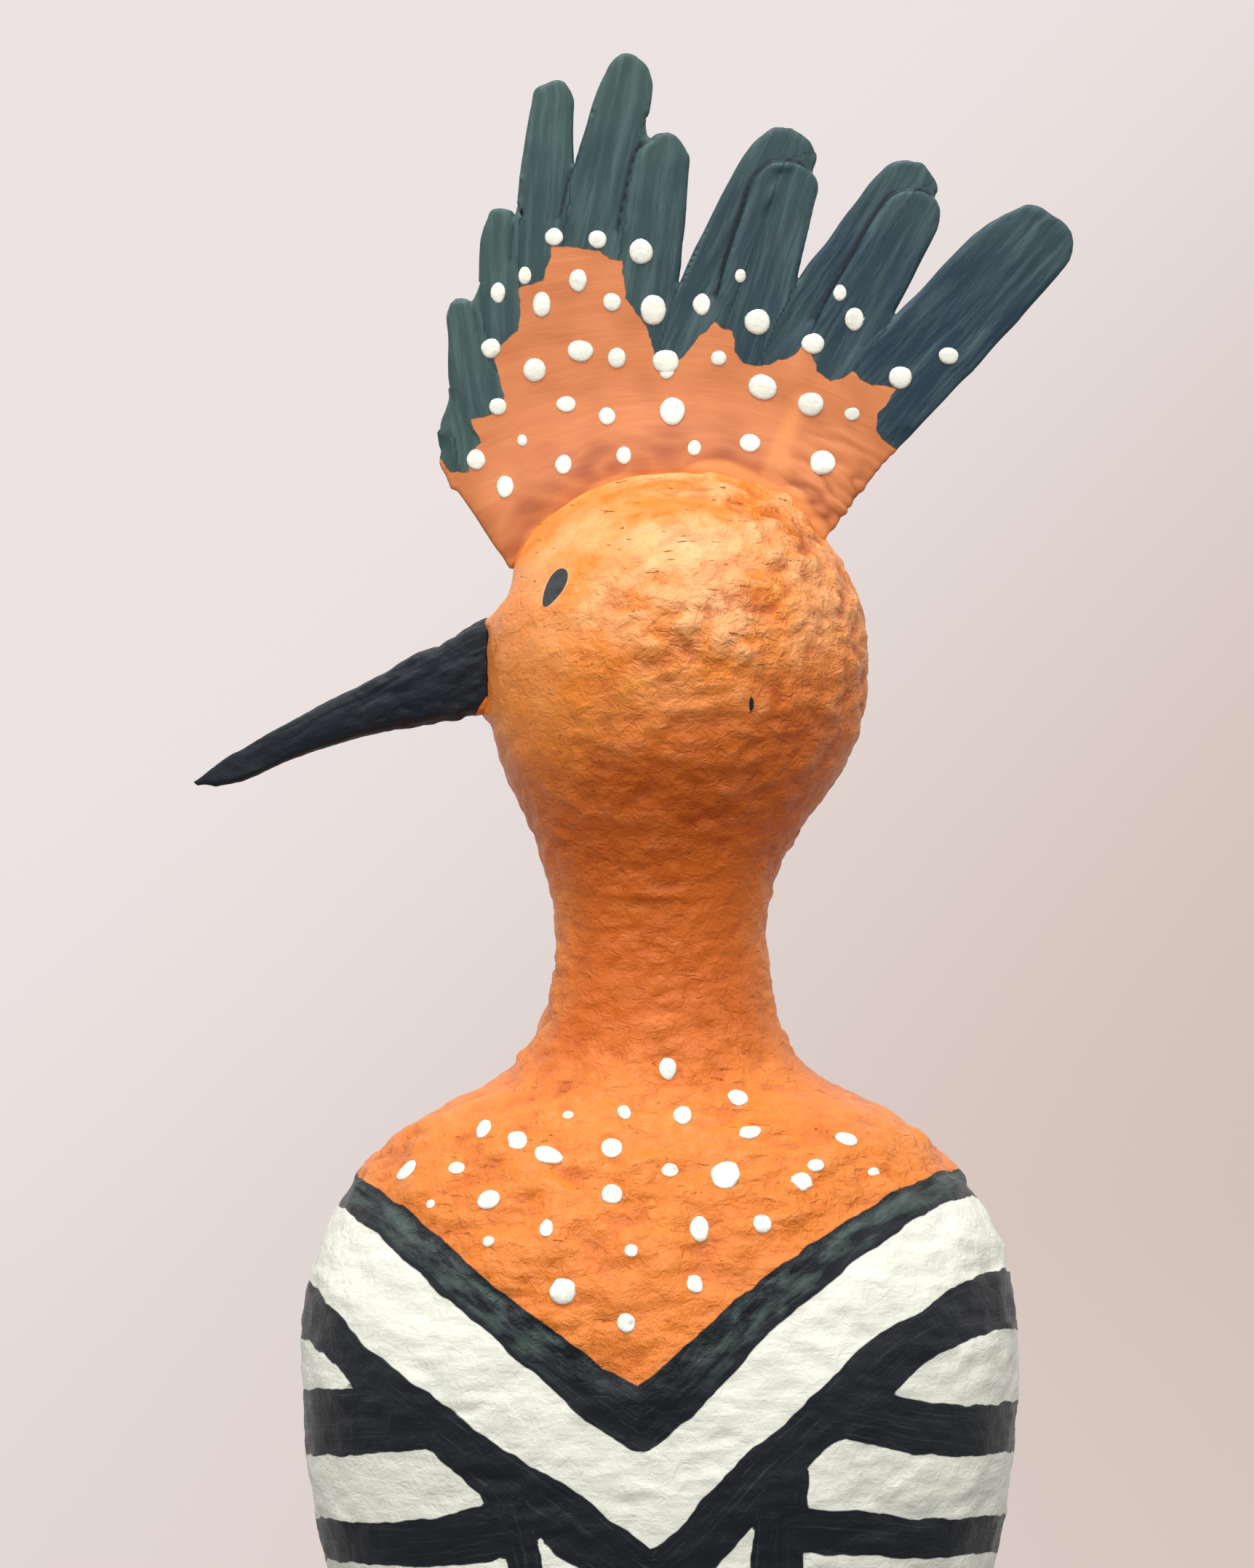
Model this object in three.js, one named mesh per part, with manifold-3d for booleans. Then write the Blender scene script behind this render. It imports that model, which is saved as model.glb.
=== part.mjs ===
// A papier-mache hoopoe ornament, in millimetres.
// One hand-built body holds the low foot, the folded wings, the neck and the ball of the head.
// A crest of layered card stands along the crown, and a rolled paper beak is set in the face.
// +X is to the right seen from the front, +Y to the rear and +Z up.
// The origin is the middle of the flat underside.
import * as THREE from "three";
import { mergeVertices } from "three/addons/utils/BufferGeometryUtils.js";
import Module from "manifold-3d";

const wasm = await Module();
wasm.setup();

// Heights of the body's zones, from the underside to the crown.
const FOOT_HEIGHT = 10;
const ANKLE_RISE = 32;
const WING_RISE = 149;
const SHOULDER_RISE = 89;
const CHEEK_RISE = 57.7;
const CROWN_RISE = 37.5;

// Widths and depths of the body where each zone ends.
const FOOT_WIDTH = 112;
const FOOT_DEPTH = 92;
const ANKLE_WIDTH = 86;
const ANKLE_DEPTH = 70;
const WING_WIDTH = 148;
const WING_DEPTH = 92;
const NECK_WIDTH = 43.4;
const NECK_DEPTH = 43;
const HEAD_WIDTH = 79;
const HEAD_DEPTH = 76;

// How far the chest stands forward, and the neck and head lie off the middle.
const CHEST_FORWARD = 2;
const NECK_BACK = 2;
const HEAD_FORWARD = 1;
const HEAD_SHIFT = 3.4;

// Crest of card: a fan-shaped web that carries the feathers. Its reach is from the middle of the
// head up to the tallest feather's tip.
const CREST_REACH = 124.2;
const CARD_THICKNESS = 2.4;
const LAYER_STEP = 0.9;
const LAP_TURN = 5;
const WEB_THICKNESS = 3.6;
const WEB_RIM_THICKNESS = 1.2;
const WEB_SPREAD_BROW = 34.3;
const WEB_SPREAD_NAPE = 37.5;
const WEB_EDGE_BROW = 75.5;
const WEB_EDGE_NAPE = 84;
const WEB_EDGE_TOP = 100;
const WEB_ROOT = 44;
const FAN_POINT_DROP = 22.6;
const FAN_POINT_SHIFT = -6;
const ROOT_SWELL = 3.6;
const ROOT_SWELL_REACH = 9;

// Rolled paper beak.
const BEAK_LENGTH = 66;
const BEAK_ROOT_HEIGHT = 19.4;
const BEAK_ROOT_WIDTH = 15;
const BEAK_DROP_ROOT = 17;
const BEAK_DROP_TIP = 26;
const BEAK_BELOW_HEAD_CENTRE = 2.2;
const BEAK_BEDDED = 12;
const BEAK_ROOT_INSET = 0.8;

// Pieces that touch keep this much between them.
const SEAM_GAP = 0.3;

// Edges shorter than this, left where pieces are joined or cut, are closed up.
const SLIVER = 0.03;

// Facets.
const SECTION_SIDES = 44;
const RINGS_PER_SPAN = 2;
const CROWN_RINGS = 6;
const BEAK_SIDES = 16;
const WEB_STEPS = 22;

const ANKLE_Z = FOOT_HEIGHT + ANKLE_RISE;
const WING_Z = ANKLE_Z + WING_RISE;
const NECK_Z = WING_Z + SHOULDER_RISE;
const HEAD_Z = NECK_Z + CHEEK_RISE;

const mix = (a, b, share) => a + (b - a) * share;

// A level section of the body: half widths, and depths to the front and rear of the middle plane.
function section(z, width, depth, forward, shift, squareness) {
  return {
    z,
    left: shift - width / 2,
    right: shift + width / 2,
    front: forward + depth / 2,
    rear: depth / 2 - forward,
    squareness,
  };
}

const FOOT = section(FOOT_HEIGHT * 0.6, FOOT_WIDTH, FOOT_DEPTH, 0, 0, 2);
const ANKLE = section(ANKLE_Z, ANKLE_WIDTH, ANKLE_DEPTH, 0, 0, 2.1);
const WING = section(WING_Z, WING_WIDTH, WING_DEPTH, CHEST_FORWARD, 0, 2.3);
const NECK = section(NECK_Z, NECK_WIDTH, NECK_DEPTH, -NECK_BACK, 0, 2);
const HEAD = section(HEAD_Z, HEAD_WIDTH, HEAD_DEPTH, HEAD_FORWARD, HEAD_SHIFT, 2);

// The section between two others: each step says how much of the rise, of the change in width
// and of the change in depth lies below it.
function between(low, high, [rise, widening, deepening]) {
  return {
    z: mix(low.z, high.z, rise),
    left: mix(low.left, high.left, widening),
    right: mix(low.right, high.right, widening),
    front: mix(low.front, high.front, deepening),
    rear: mix(low.rear, high.rear, deepening),
    squareness: mix(low.squareness, high.squareness, rise),
  };
}

const LOWER_BODY_STEPS = [
  [0.2, 0.1, 0.12],
  [0.42, 0.36, 0.4],
  [0.6, 0.62, 0.68],
  [0.76, 0.86, 0.88],
  [0.88, 0.97, 0.97],
];
const SHOULDER_STEPS = [
  [0.2, 0.025, 0.06],
  [0.36, 0.12, 0.2],
  [0.48, 0.26, 0.4],
  [0.56, 0.4, 0.56],
  [0.62, 0.58, 0.7],
  [0.67, 0.76, 0.82],
  [0.73, 0.88, 0.91],
  [0.83, 0.96, 0.97],
];
const CHEEK_STEPS = [
  [0.17, 0.07, 0.07],
  [0.32, 0.24, 0.24],
  [0.47, 0.52, 0.5],
  [0.62, 0.79, 0.76],
  [0.8, 0.95, 0.94],
];

// The foot is a low disc with a rounded rim that the body rises from.
function footSections() {
  const shrink = (share, z) => ({
    ...FOOT,
    z,
    left: FOOT.left * share,
    right: FOOT.right * share,
    front: FOOT.front * share,
    rear: FOOT.rear * share,
  });
  return [
    shrink(0.965, 0),
    shrink(0.995, FOOT_HEIGHT * 0.2),
    shrink(1, FOOT_HEIGHT * 0.5),
    shrink(0.985, FOOT_HEIGHT * 0.8),
    shrink(0.93, FOOT_HEIGHT * 1.02),
    between(FOOT, ANKLE, [0.25, 0.62, 0.62]),
    between(FOOT, ANKLE, [0.55, 0.88, 0.88]),
  ];
}

// One ring of points round a section, grown outwards by the allowance.
function ringAt(s, allowance) {
  const ring = [];
  for (let i = 0; i < SECTION_SIDES; i += 1) {
    const turn = (i / SECTION_SIDES) * 2 * Math.PI;
    const along = Math.sign(Math.cos(turn)) * Math.abs(Math.cos(turn)) ** (2 / s.squareness);
    const across = Math.sign(Math.sin(turn)) * Math.abs(Math.sin(turn)) ** (2 / s.squareness);
    const middle = (s.left + s.right) / 2;
    const halfWidth = (s.right - s.left) / 2 + allowance;
    const reach = (across < 0 ? s.front : s.rear) + allowance;
    ring.push(new THREE.Vector3(middle + halfWidth * along, reach * across, s.z));
  }
  return ring;
}

// A closed skin through a stack of rings, each end closed by a fan to its own middle point.
function skin(rings, lowEnd, highEnd) {
  const sides = rings[0].length;
  const points = rings.flat();
  const faces = [];
  for (let r = 0; r + 1 < rings.length; r += 1) {
    for (let i = 0; i < sides; i += 1) {
      const next = (i + 1) % sides;
      const [a, b] = [r * sides + i, r * sides + next];
      faces.push(a, b, b + sides, a, b + sides, a + sides);
    }
  }
  const low = points.push(lowEnd) - 1;
  const high = points.push(highEnd) - 1;
  const top = (rings.length - 1) * sides;
  for (let i = 0; i < sides; i += 1) {
    const next = (i + 1) % sides;
    faces.push(low, next, i, high, top + i, top + next);
  }
  const geometry = new THREE.BufferGeometry().setFromPoints(points);
  geometry.setIndex(faces);
  return geometry;
}

// Foot, wings, shoulders, neck and head in one skin.
function bodyGeometry(allowance) {
  const stations = [
    ...footSections(),
    ANKLE,
    ...LOWER_BODY_STEPS.map((step) => between(ANKLE, WING, step)),
    WING,
    ...SHOULDER_STEPS.map((step) => between(WING, NECK, step)),
    NECK,
    ...CHEEK_STEPS.map((step) => between(NECK, HEAD, step)),
    HEAD,
  ];
  const through = (pick) => new THREE.CatmullRomCurve3(stations.map(pick), false, "catmullrom", 0.5);
  const widths = through((s) => new THREE.Vector3(s.left, s.right, s.z));
  const depths = through((s) => new THREE.Vector3(s.front, s.rear, s.z));
  const shapes = through((s) => new THREE.Vector3(s.squareness, 0, s.z));
  const count = (stations.length - 1) * RINGS_PER_SPAN;
  const rings = [];
  for (let k = 0; k <= count; k += 1) {
    const [wide, deep, shape] = [widths, depths, shapes].map((c) => c.getPoint(k / count));
    const here = { z: wide.z, left: wide.x, right: wide.y, front: deep.x, rear: deep.y, squareness: shape.x };
    rings.push(ringAt(here, allowance));
  }
  for (let k = 1; k < CROWN_RINGS; k += 1) {
    const turn = ((k / CROWN_RINGS) * Math.PI) / 2;
    const share = Math.cos(turn);
    rings.push(
      ringAt(
        {
          ...HEAD,
          z: HEAD_Z + CROWN_RISE * Math.sin(turn),
          left: HEAD_SHIFT - (HEAD_WIDTH / 2) * share,
          right: HEAD_SHIFT + (HEAD_WIDTH / 2) * share,
          front: HEAD.front * share,
          rear: HEAD.rear * share,
        },
        allowance * share,
      ),
    );
  }
  const crown = new THREE.Vector3(HEAD_SHIFT, 0, HEAD_Z + CROWN_RISE + allowance);
  return skin(rings, new THREE.Vector3(0, 0, -allowance), crown);
}

function solid(geometry) {
  const plain = geometry.clone();
  for (const name of Object.keys(plain.attributes)) {
    if (name !== "position") plain.deleteAttribute(name);
  }
  const merged = mergeVertices(plain, 1e-4);
  return new wasm.Manifold(
    new wasm.Mesh({
      numProp: 3,
      vertProperties: new Float32Array(merged.attributes.position.array),
      triVerts: new Uint32Array(merged.index.array),
    }),
  );
}

function geometryOf(manifold) {
  const { vertProperties, triVerts } = manifold.getMesh();
  const geometry = new THREE.BufferGeometry();
  geometry.setAttribute("position", new THREE.BufferAttribute(vertProperties, 3));
  geometry.setIndex(new THREE.BufferAttribute(triVerts, 1));
  return geometry;
}

// The crest's feathers from the brow to the nape. The tip is measured from the middle of the head,
// and it, the length and the width are in hundredths of the crest's reach. The lean is from upright
// towards the nape, and the taper is the width at the tip's shoulders as a share of the full width.
// The tip's round is blunt times the width long, and skew makes it longer on the brow side and
// shorter on the other. The layer counts card steps towards the front.
const FEATHERS = [
  { tip: [-37.4, 36.4], lean: -14, length: 8.1, width: 4, taper: 0.9, blunt: 0.5, skew: 0, layer: -0.3 },
  { tip: [-36.1, 42.2], lean: -6, length: 13.7, width: 5.6, taper: 0.9, blunt: 0.6, skew: 0, layer: -0.3 },
  { tip: [-35.6, 59.6], lean: -8, length: 21.7, width: 7.9, taper: 0.76, blunt: 0.6, skew: 0.1, layer: 0 },
  { tip: [-29.5, 73.9], lean: -1, length: 29, width: 7.7, taper: 0.84, blunt: 0.7, skew: 0.2, layer: 0 },
  { tip: [-20.5, 95.5], lean: 4, length: 41.9, width: 9.2, taper: 0.74, blunt: 0.4, skew: 0.1, layer: 0 },
  { tip: [-7.6, 100], lean: 12, length: 48.3, width: 11.1, taper: 0.82, blunt: 0.8, skew: 0.4, layer: 0 },
  { tip: [-1.9, 87], lean: 8, length: 38.6, width: 10.6, taper: 0.8, blunt: 0.5, skew: 0.2, layer: 0.2 },
  { tip: [19.2, 87.8], lean: 25, length: 40.3, width: 12.1, taper: 0.9, blunt: 0.55, skew: 0.4, layer: -0.8 },
  { tip: [18.7, 81.8], lean: 15, length: 37, width: 11.6, taper: 0.9, blunt: 0.45, skew: 0.2, layer: 0.8 },
  { tip: [40.3, 82.3], lean: 34, length: 43.5, width: 11, taper: 0.88, blunt: 0.65, skew: 0.4, layer: -0.8 },
  { tip: [40.6, 76.7], lean: 29, length: 40.3, width: 10.5, taper: 0.9, blunt: 0.45, skew: 0.2, layer: 0.8 },
  { tip: [62.5, 73.8], lean: 42.5, length: 53.1, width: 15.3, taper: 0.95, blunt: 0.66, skew: 0.5, layer: 0 },
];
const CREST_SHARE = CREST_REACH / 100;
const TIP_STEPS = 7;
const FOOT_NARROWING = 0.9;

// One edge of a feather standing upright with its tip at the origin, from below the tip to its foot.
// The side is 1 for the edge towards the nape and -1 for the other.
function featherEdge({ taper, blunt, skew, ...feather }, side) {
  const width = feather.width * CREST_SHARE;
  const length = feather.length * CREST_SHARE;
  const tipLength = width * blunt * (1 - side * skew);
  const edge = [];
  for (let k = 1; k <= TIP_STEPS; k += 1) {
    const turn = ((k / TIP_STEPS) * Math.PI) / 2;
    edge.push([(width / 2) * taper * Math.sin(turn) ** 0.9, -tipLength * (1 - Math.cos(turn))]);
  }
  edge.push([(width / 2) * mix(taper, 1, 0.6), -mix(tipLength, length, 0.25)]);
  edge.push([width / 2, -mix(tipLength, length, 0.5)]);
  edge.push([(width / 2) * FOOT_NARROWING, -length]);
  return edge.map(([x, y]) => new THREE.Vector2(side * x, y));
}

function featherShape(feather) {
  const down = featherEdge(feather, 1);
  const up = featherEdge(feather, -1).reverse();
  return new THREE.Shape([new THREE.Vector2(0, 0), ...down, ...up]);
}

// Each blade is turned a little about its own length, so that it laps over the one before it.
function featherGeometry(feather) {
  const blade = new THREE.ExtrudeGeometry(featherShape(feather), {
    depth: CARD_THICKNESS,
    bevelEnabled: false,
    curveSegments: 1,
  });
  blade.rotateX(Math.PI / 2);
  blade.translate(0, CARD_THICKNESS / 2 - feather.layer * LAYER_STEP, 0);
  blade.rotateZ(THREE.MathUtils.degToRad(LAP_TURN));
  blade.rotateY(THREE.MathUtils.degToRad(feather.lean));
  const [along, up] = feather.tip.map((share) => share * CREST_SHARE);
  blade.translate(HEAD_SHIFT + along, 0, HEAD_Z + up);
  return blade;
}

function middleOf(ring) {
  const sum = new THREE.Vector3();
  ring.forEach((point) => sum.add(point));
  return sum.divideScalar(ring.length);
}

// The web is a fan about a point low in the head. It swells where it meets the crown, and thins
// towards its rim until it is lost between the feathers.
function webGeometry() {
  const pole = new THREE.Vector3(HEAD_SHIFT + FAN_POINT_SHIFT, 0, HEAD_Z - FAN_POINT_DROP);
  const rings = [];
  for (let k = 0; k <= WEB_STEPS; k += 1) {
    const share = k / WEB_STEPS;
    const turn = THREE.MathUtils.degToRad(mix(-WEB_SPREAD_BROW, WEB_SPREAD_NAPE, share));
    const edge = mix(WEB_EDGE_BROW, WEB_EDGE_NAPE, share);
    const reach = edge + (WEB_EDGE_TOP - edge) * Math.sin(Math.PI * share) ** 0.7;
    rings.push(webSection(pole, turn, reach));
  }
  return skin(rings, middleOf(rings[0]), middleOf(rings[WEB_STEPS]));
}

// Where a turn about the pole meets a height above the round of the head, the web's half thickness.
function webSection(pole, turn, reach) {
  const steps = [0, 0.15, 0.3, 0.42, 0.55, 0.7, 1];
  const side = steps.map((share) => {
    const radius = mix(WEB_ROOT, reach, share);
    const x = pole.x + radius * Math.sin(turn);
    const z = pole.z + radius * Math.cos(turn);
    const above = Math.hypot(x - HEAD_SHIFT, z - HEAD_Z) - HEAD_WIDTH / 2;
    const swell = ROOT_SWELL * Math.exp(-((Math.max(above, 0) / ROOT_SWELL_REACH) ** 2));
    return { x, z, half: mix(WEB_THICKNESS, WEB_RIM_THICKNESS, share) / 2 + swell };
  });
  const rear = side.map((p) => new THREE.Vector3(p.x, p.half, p.z));
  const front = side.map((p) => new THREE.Vector3(p.x, -p.half, p.z)).reverse();
  return [...rear, ...front];
}

function crestGeometry(cutter) {
  const blades = FEATHERS.map((feather) => solid(featherGeometry(feather)));
  const fan = blades.reduce((whole, blade) => whole.add(blade), solid(webGeometry()));
  return geometryOf(fan.subtract(cutter).simplify(SLIVER));
}

// The beak: share of its length, half height and half width there as shares of the root's.
const BEAK_STEPS = [
  [-0.2, 1, 1],
  [0, 1, 1],
  [0.06, 0.88, 0.95],
  [0.12, 0.76, 0.9],
  [0.22, 0.73, 0.81],
  [0.33, 0.58, 0.72],
  [0.45, 0.47, 0.61],
  [0.61, 0.37, 0.48],
  [0.76, 0.3, 0.37],
  [0.85, 0.25, 0.3],
  [0.91, 0.14, 0.21],
  [0.95, 0.085, 0.15],
  [0.985, 0.055, 0.09],
];

// Distance along the beak's drooping centre line, turned into a place in the head's upright plane.
function beakPoint(share) {
  const pieces = 24;
  const cheek = HEAD_SHIFT - HEAD_WIDTH / 2;
  const place = new THREE.Vector2(cheek + BEAK_ROOT_INSET, HEAD_Z - BEAK_BELOW_HEAD_CENTRE);
  const dropAt = (s) => THREE.MathUtils.degToRad(mix(BEAK_DROP_ROOT, BEAK_DROP_TIP, Math.max(s, 0)));
  for (let k = 0; k < pieces; k += 1) {
    const drop = dropAt(((k + 0.5) / pieces) * share);
    const step = (share * BEAK_LENGTH) / pieces;
    place.x -= step * Math.cos(drop);
    place.y -= step * Math.sin(drop);
  }
  return { place, drop: dropAt(share) };
}

function beakGeometry(cutter) {
  const rings = BEAK_STEPS.map(([share, high, wide]) => {
    const along = share < 0 ? -BEAK_BEDDED / BEAK_LENGTH : share;
    const { place, drop } = beakPoint(along);
    const ring = [];
    for (let i = 0; i < BEAK_SIDES; i += 1) {
      const turn = (i / BEAK_SIDES) * 2 * Math.PI;
      const up = (BEAK_ROOT_HEIGHT / 2) * high * Math.cos(turn);
      const out = (BEAK_ROOT_WIDTH / 2) * wide * Math.sin(turn);
      ring.push(new THREE.Vector3(place.x - up * Math.sin(drop), out, place.y + up * Math.cos(drop)));
    }
    return ring;
  });
  const bedded = beakPoint(-BEAK_BEDDED / BEAK_LENGTH).place;
  const tip = beakPoint(1).place;
  const hook = new THREE.Vector3(tip.x, 0, tip.y + BEAK_ROOT_HEIGHT * 0.07);
  const cone = solid(skin(rings, new THREE.Vector3(bedded.x, 0, bedded.y), hook));
  return geometryOf(cone.subtract(cutter).simplify(SLIVER));
}

const finishes = {
  body: new THREE.MeshStandardMaterial({ color: 0xe08a3c, roughness: 0.5, metalness: 0 }),
  crest: new THREE.MeshStandardMaterial({ color: 0x3a4a50, roughness: 0.5, metalness: 0 }),
  beak: new THREE.MeshStandardMaterial({ color: 0x252b31, roughness: 0.4, metalness: 0 }),
};

function piece(name, geometry) {
  const mesh = new THREE.Mesh(geometry, finishes[name]);
  mesh.name = name;
  return mesh;
}

const grownBody = solid(bodyGeometry(SEAM_GAP));
const bird = new THREE.Group();
bird.add(piece("body", bodyGeometry(0)));
bird.add(piece("crest", crestGeometry(grownBody)));
bird.add(piece("beak", beakGeometry(grownBody)));

export default bird;
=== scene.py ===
"""Dresses the papier-mache hoopoe: painted pulp, a card crest, a rolled beak and raised dots."""

import math
from functools import partial

import bmesh
import bpy
import numpy as np
from bpy.props import FloatProperty, FloatVectorProperty, IntProperty, PointerProperty
from bpy.types import Operator, Panel, PropertyGroup
from mathutils import Matrix, Vector, noise
from mathutils.bvhtree import BVHTree


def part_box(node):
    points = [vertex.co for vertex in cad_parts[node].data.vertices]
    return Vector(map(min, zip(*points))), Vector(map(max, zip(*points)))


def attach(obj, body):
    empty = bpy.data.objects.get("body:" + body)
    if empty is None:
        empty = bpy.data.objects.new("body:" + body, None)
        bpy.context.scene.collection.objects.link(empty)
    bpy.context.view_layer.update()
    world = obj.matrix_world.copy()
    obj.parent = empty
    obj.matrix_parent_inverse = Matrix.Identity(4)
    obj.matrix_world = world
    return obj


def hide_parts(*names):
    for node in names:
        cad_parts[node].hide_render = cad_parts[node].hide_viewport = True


bl_info = {
    "name": "Papier-mache hoopoe",
    "version": (1, 0, 0),
    "blender": (4, 5, 0),
    "location": "View3D > Sidebar > Hoopoe",
    "description": "Builds the painted surface, crest, beak and raised dots round the packed model",
    "category": "Object",
}

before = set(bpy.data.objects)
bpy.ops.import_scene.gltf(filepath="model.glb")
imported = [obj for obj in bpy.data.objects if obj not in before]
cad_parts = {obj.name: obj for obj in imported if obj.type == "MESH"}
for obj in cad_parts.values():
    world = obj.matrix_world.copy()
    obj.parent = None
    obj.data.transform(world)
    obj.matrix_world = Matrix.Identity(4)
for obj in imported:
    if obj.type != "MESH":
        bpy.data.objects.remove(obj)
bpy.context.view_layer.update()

MM = 0.001

# The head's middle and radius, and the point that the fan of the crest spreads from, in mm.
HEAD_CENTRE = (3.4, 337.7)
HEAD_RADIUS = 39
FAN_POINT = (-2.6, 315.1)

# Brush marks round the fan are measured this far out from that point, a fold this deep between two
# feathers is painted black as painted shade, and paint fills the corner at the crest's root up to this
# height, all in mm.
FAN_REACH = 80
LAP_DEPTH = 0.05
ROOT_FILLET = 2.5

# Between these heights the body's axis leans over to the head's middle, in mm.
AXIS_BEND = (238, 300)

# How close the rows of the body's faces lie, in mm, from the underside up to the crown, where the
# rings under the foot lie, and how many times the solid's rows and facets are evened out.
ROW_HEIGHTS = (0, 12, 40, 145, 165, 440)
ROW_SPACING = (1.3, 1.8, 2.2, 1.6, 0.88, 0.88)
UNDERSIDE_RINGS = (0.985, 0.75, 0.5, 0.25)
ROW_ROUNDING = 6
FACET_ROUNDING = 26

# The eye for the photograph's angle, in mm. Paint is laid out on the picture plane: the upright
# plane through the bird's middle, as that eye projects the surface on it. The rear is laid out
# in the same way, from the mirrored place behind.
EYE_POINT = (-6.9, -800.0, 311.7)
CAMERA_LENS = 89.05

# How far the brush marks of one stroke lie from the next one's in the noise that they come from.
STROKES_APART = 9.0

# Where the foot's black ends, in mm up.
FOOT_HEIGHT = 13

# Brushed black bands on the front: across, up and half width, in mm on the picture plane.
COLLAR = (
    (-72, 233, 3.2), (-68, 230, 3.4), (-56, 222, 3.9), (-44, 211, 4.3), (-31, 200, 4.4), (-22, 193, 4.8),
    (-14, 186, 5.6), (-4, 180, 5.9), (8.5, 191, 5.7), (19, 202, 5), (32, 212, 4.4), (40.5, 218.5, 3.7),
    (51, 225, 3.6), (60, 229.5, 3.3), (67, 231, 3.2), (72, 231.5, 3.2),
)
CHEVRON = (
    (-80, 207, 5.6), (-76, 205, 5.5), (-68, 198.5, 3.8), (-63.5, 193, 3.3), (-57.5, 188, 4.3),
    (-46, 179, 4.7), (-36.5, 171, 5), (-23.5, 162.5, 5.9), (-11, 153, 6.1), (-1.5, 146, 6.2), (9.5, 156, 5.8),
    (21.5, 169.5, 5.5), (30, 177, 4.9), (40, 186, 5.5), (47, 193, 5.6), (54.5, 198, 4.7), (63, 203, 5.5),
    (71.5, 205.5, 6.2), (80, 206, 6.2),
)
FRONT_BANDS = (
    COLLAR,
    CHEVRON,
    ((-80, 180.5, 6), (-72, 180, 6.9), (-62, 180, 6.9), (-52, 180, 5.8), (-46, 179, 4.6)),
    ((38, 182, 5.2), (53, 179, 5.6), (64, 178, 5.2), (80, 180, 5.2)),
    ((-80, 157.5, 4.2), (-59, 154.5, 4.3), (-48, 155, 4.9), (-36, 157, 5.8)),
    ((28, 158, 4.8), (41.5, 157, 4.6), (53, 156, 4.1), (64, 156.5, 4), (80, 158.5, 3.6)),
    (
        (-34, 168, 4), (-31, 163, 4.6), (-29.5, 157, 3.7), (-28, 150, 3.6), (-25, 120, 4), (-18, 80, 4),
        (-12, 40, 4),
    ),
    ((25.5, 169, 5.2), (24.5, 157, 5.5), (24, 150, 5.4), (22, 120, 4.6), (15, 80, 4.2), (10, 40, 4)),
    ((-27, 141, 3.8), (-13, 129, 4.4), (-1, 118, 5), (11, 128, 4.6), (23, 140, 4)),
    ((-21, 103, 3.8), (-1, 88, 4.6), (18, 102, 4)),
    ((-80, 134, 4.6), (-60, 131, 4.4), (-26, 131, 5)),
    ((80, 134, 4.4), (60, 131, 4.6), (24, 132, 5)),
    ((-80, 111, 4.4), (-55, 108, 4.6), (-23, 109, 4.8)),
    ((80, 111, 4.6), (55, 108, 4.4), (20, 110, 4.8)),
    ((-80, 88, 4.4), (-50, 85, 4.4), (-19, 86, 4.4)),
    ((80, 88, 4.2), (50, 85, 4.4), (16, 87, 4.4)),
    ((-80, 66, 4), (-40, 63, 4.2), (-15, 64, 4)),
    ((80, 66, 4), (40, 63, 4), (12, 64, 4)),
    ((-80, 42, 4), (-30, 40, 4.2), (0, 38, 4.2), (30, 40, 4.2), (80, 42, 4)),
)

# The rear has a scooped collar and bars that meet the front ones at the sides.
REAR_COLLAR = (
    (-72, 233, 3.2), (-60, 225, 3.6), (-32, 215, 4.2), (0, 211, 4.4), (32, 215, 4.2), (60, 226, 3.6),
    (72, 232, 3.2),
)
REAR_BANDS = (
    REAR_COLLAR,
    (
        (-80, 207, 5.6), (-60, 197, 5), (-30, 188, 4.8), (0, 185, 5), (30, 188, 5), (60, 198, 5),
        (80, 206, 6.2),
    ),
    ((-80, 180.5, 6), (-40, 167, 5), (0, 162, 5), (40, 167, 5), (80, 180, 5.2)),
    ((-80, 157.5, 4.2), (-40, 144, 4.6), (0, 139, 5), (40, 144, 4.6), (80, 158.5, 3.6)),
    ((-80, 134, 4.6), (-40, 121, 4.6), (0, 117, 4.8), (40, 121, 4.6), (80, 134, 4.4)),
    ((-80, 111, 4.4), (-40, 99, 4.6), (0, 95, 4.6), (40, 99, 4.6), (80, 111, 4.6)),
    ((-80, 88, 4.4), (-40, 78, 4.4), (0, 74, 4.4), (40, 78, 4.4), (80, 88, 4.2)),
    ((-80, 66, 4), (-30, 56, 4.2), (0, 54, 4.2), (30, 56, 4.2), (80, 66, 4)),
    ((-80, 42, 4), (-30, 35, 4.2), (0, 34, 4.2), (30, 35, 4.2), (80, 42, 4)),
)

# Feathers that the brush followed down, from the brow to the nape: the tip from the head's middle,
# the lean from upright in degrees and the width, as on the solid, and how far the brush went.
FEATHERS = (
    (-46.5, 45, -14, 5, 10),
    (-45, 52.5, -6, 7, 14),
    (-44, 74, -8, 10, 24),
    (-36.5, 92, -1, 9.6, 28),
    (-25.5, 118.5, 4, 11.4, 40),
    (-9.5, 124, 12, 13.8, 42),
    (-2.5, 108, 8, 13.2, 50),
    (24, 109, 25, 15, 50),
    (23, 101.5, 15, 14.4, 42),
    (50, 102, 34, 13.6, 50),
    (50.5, 95, 29, 13, 44),
    (77.5, 91.5, 42.5, 19, 58),
)

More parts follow.
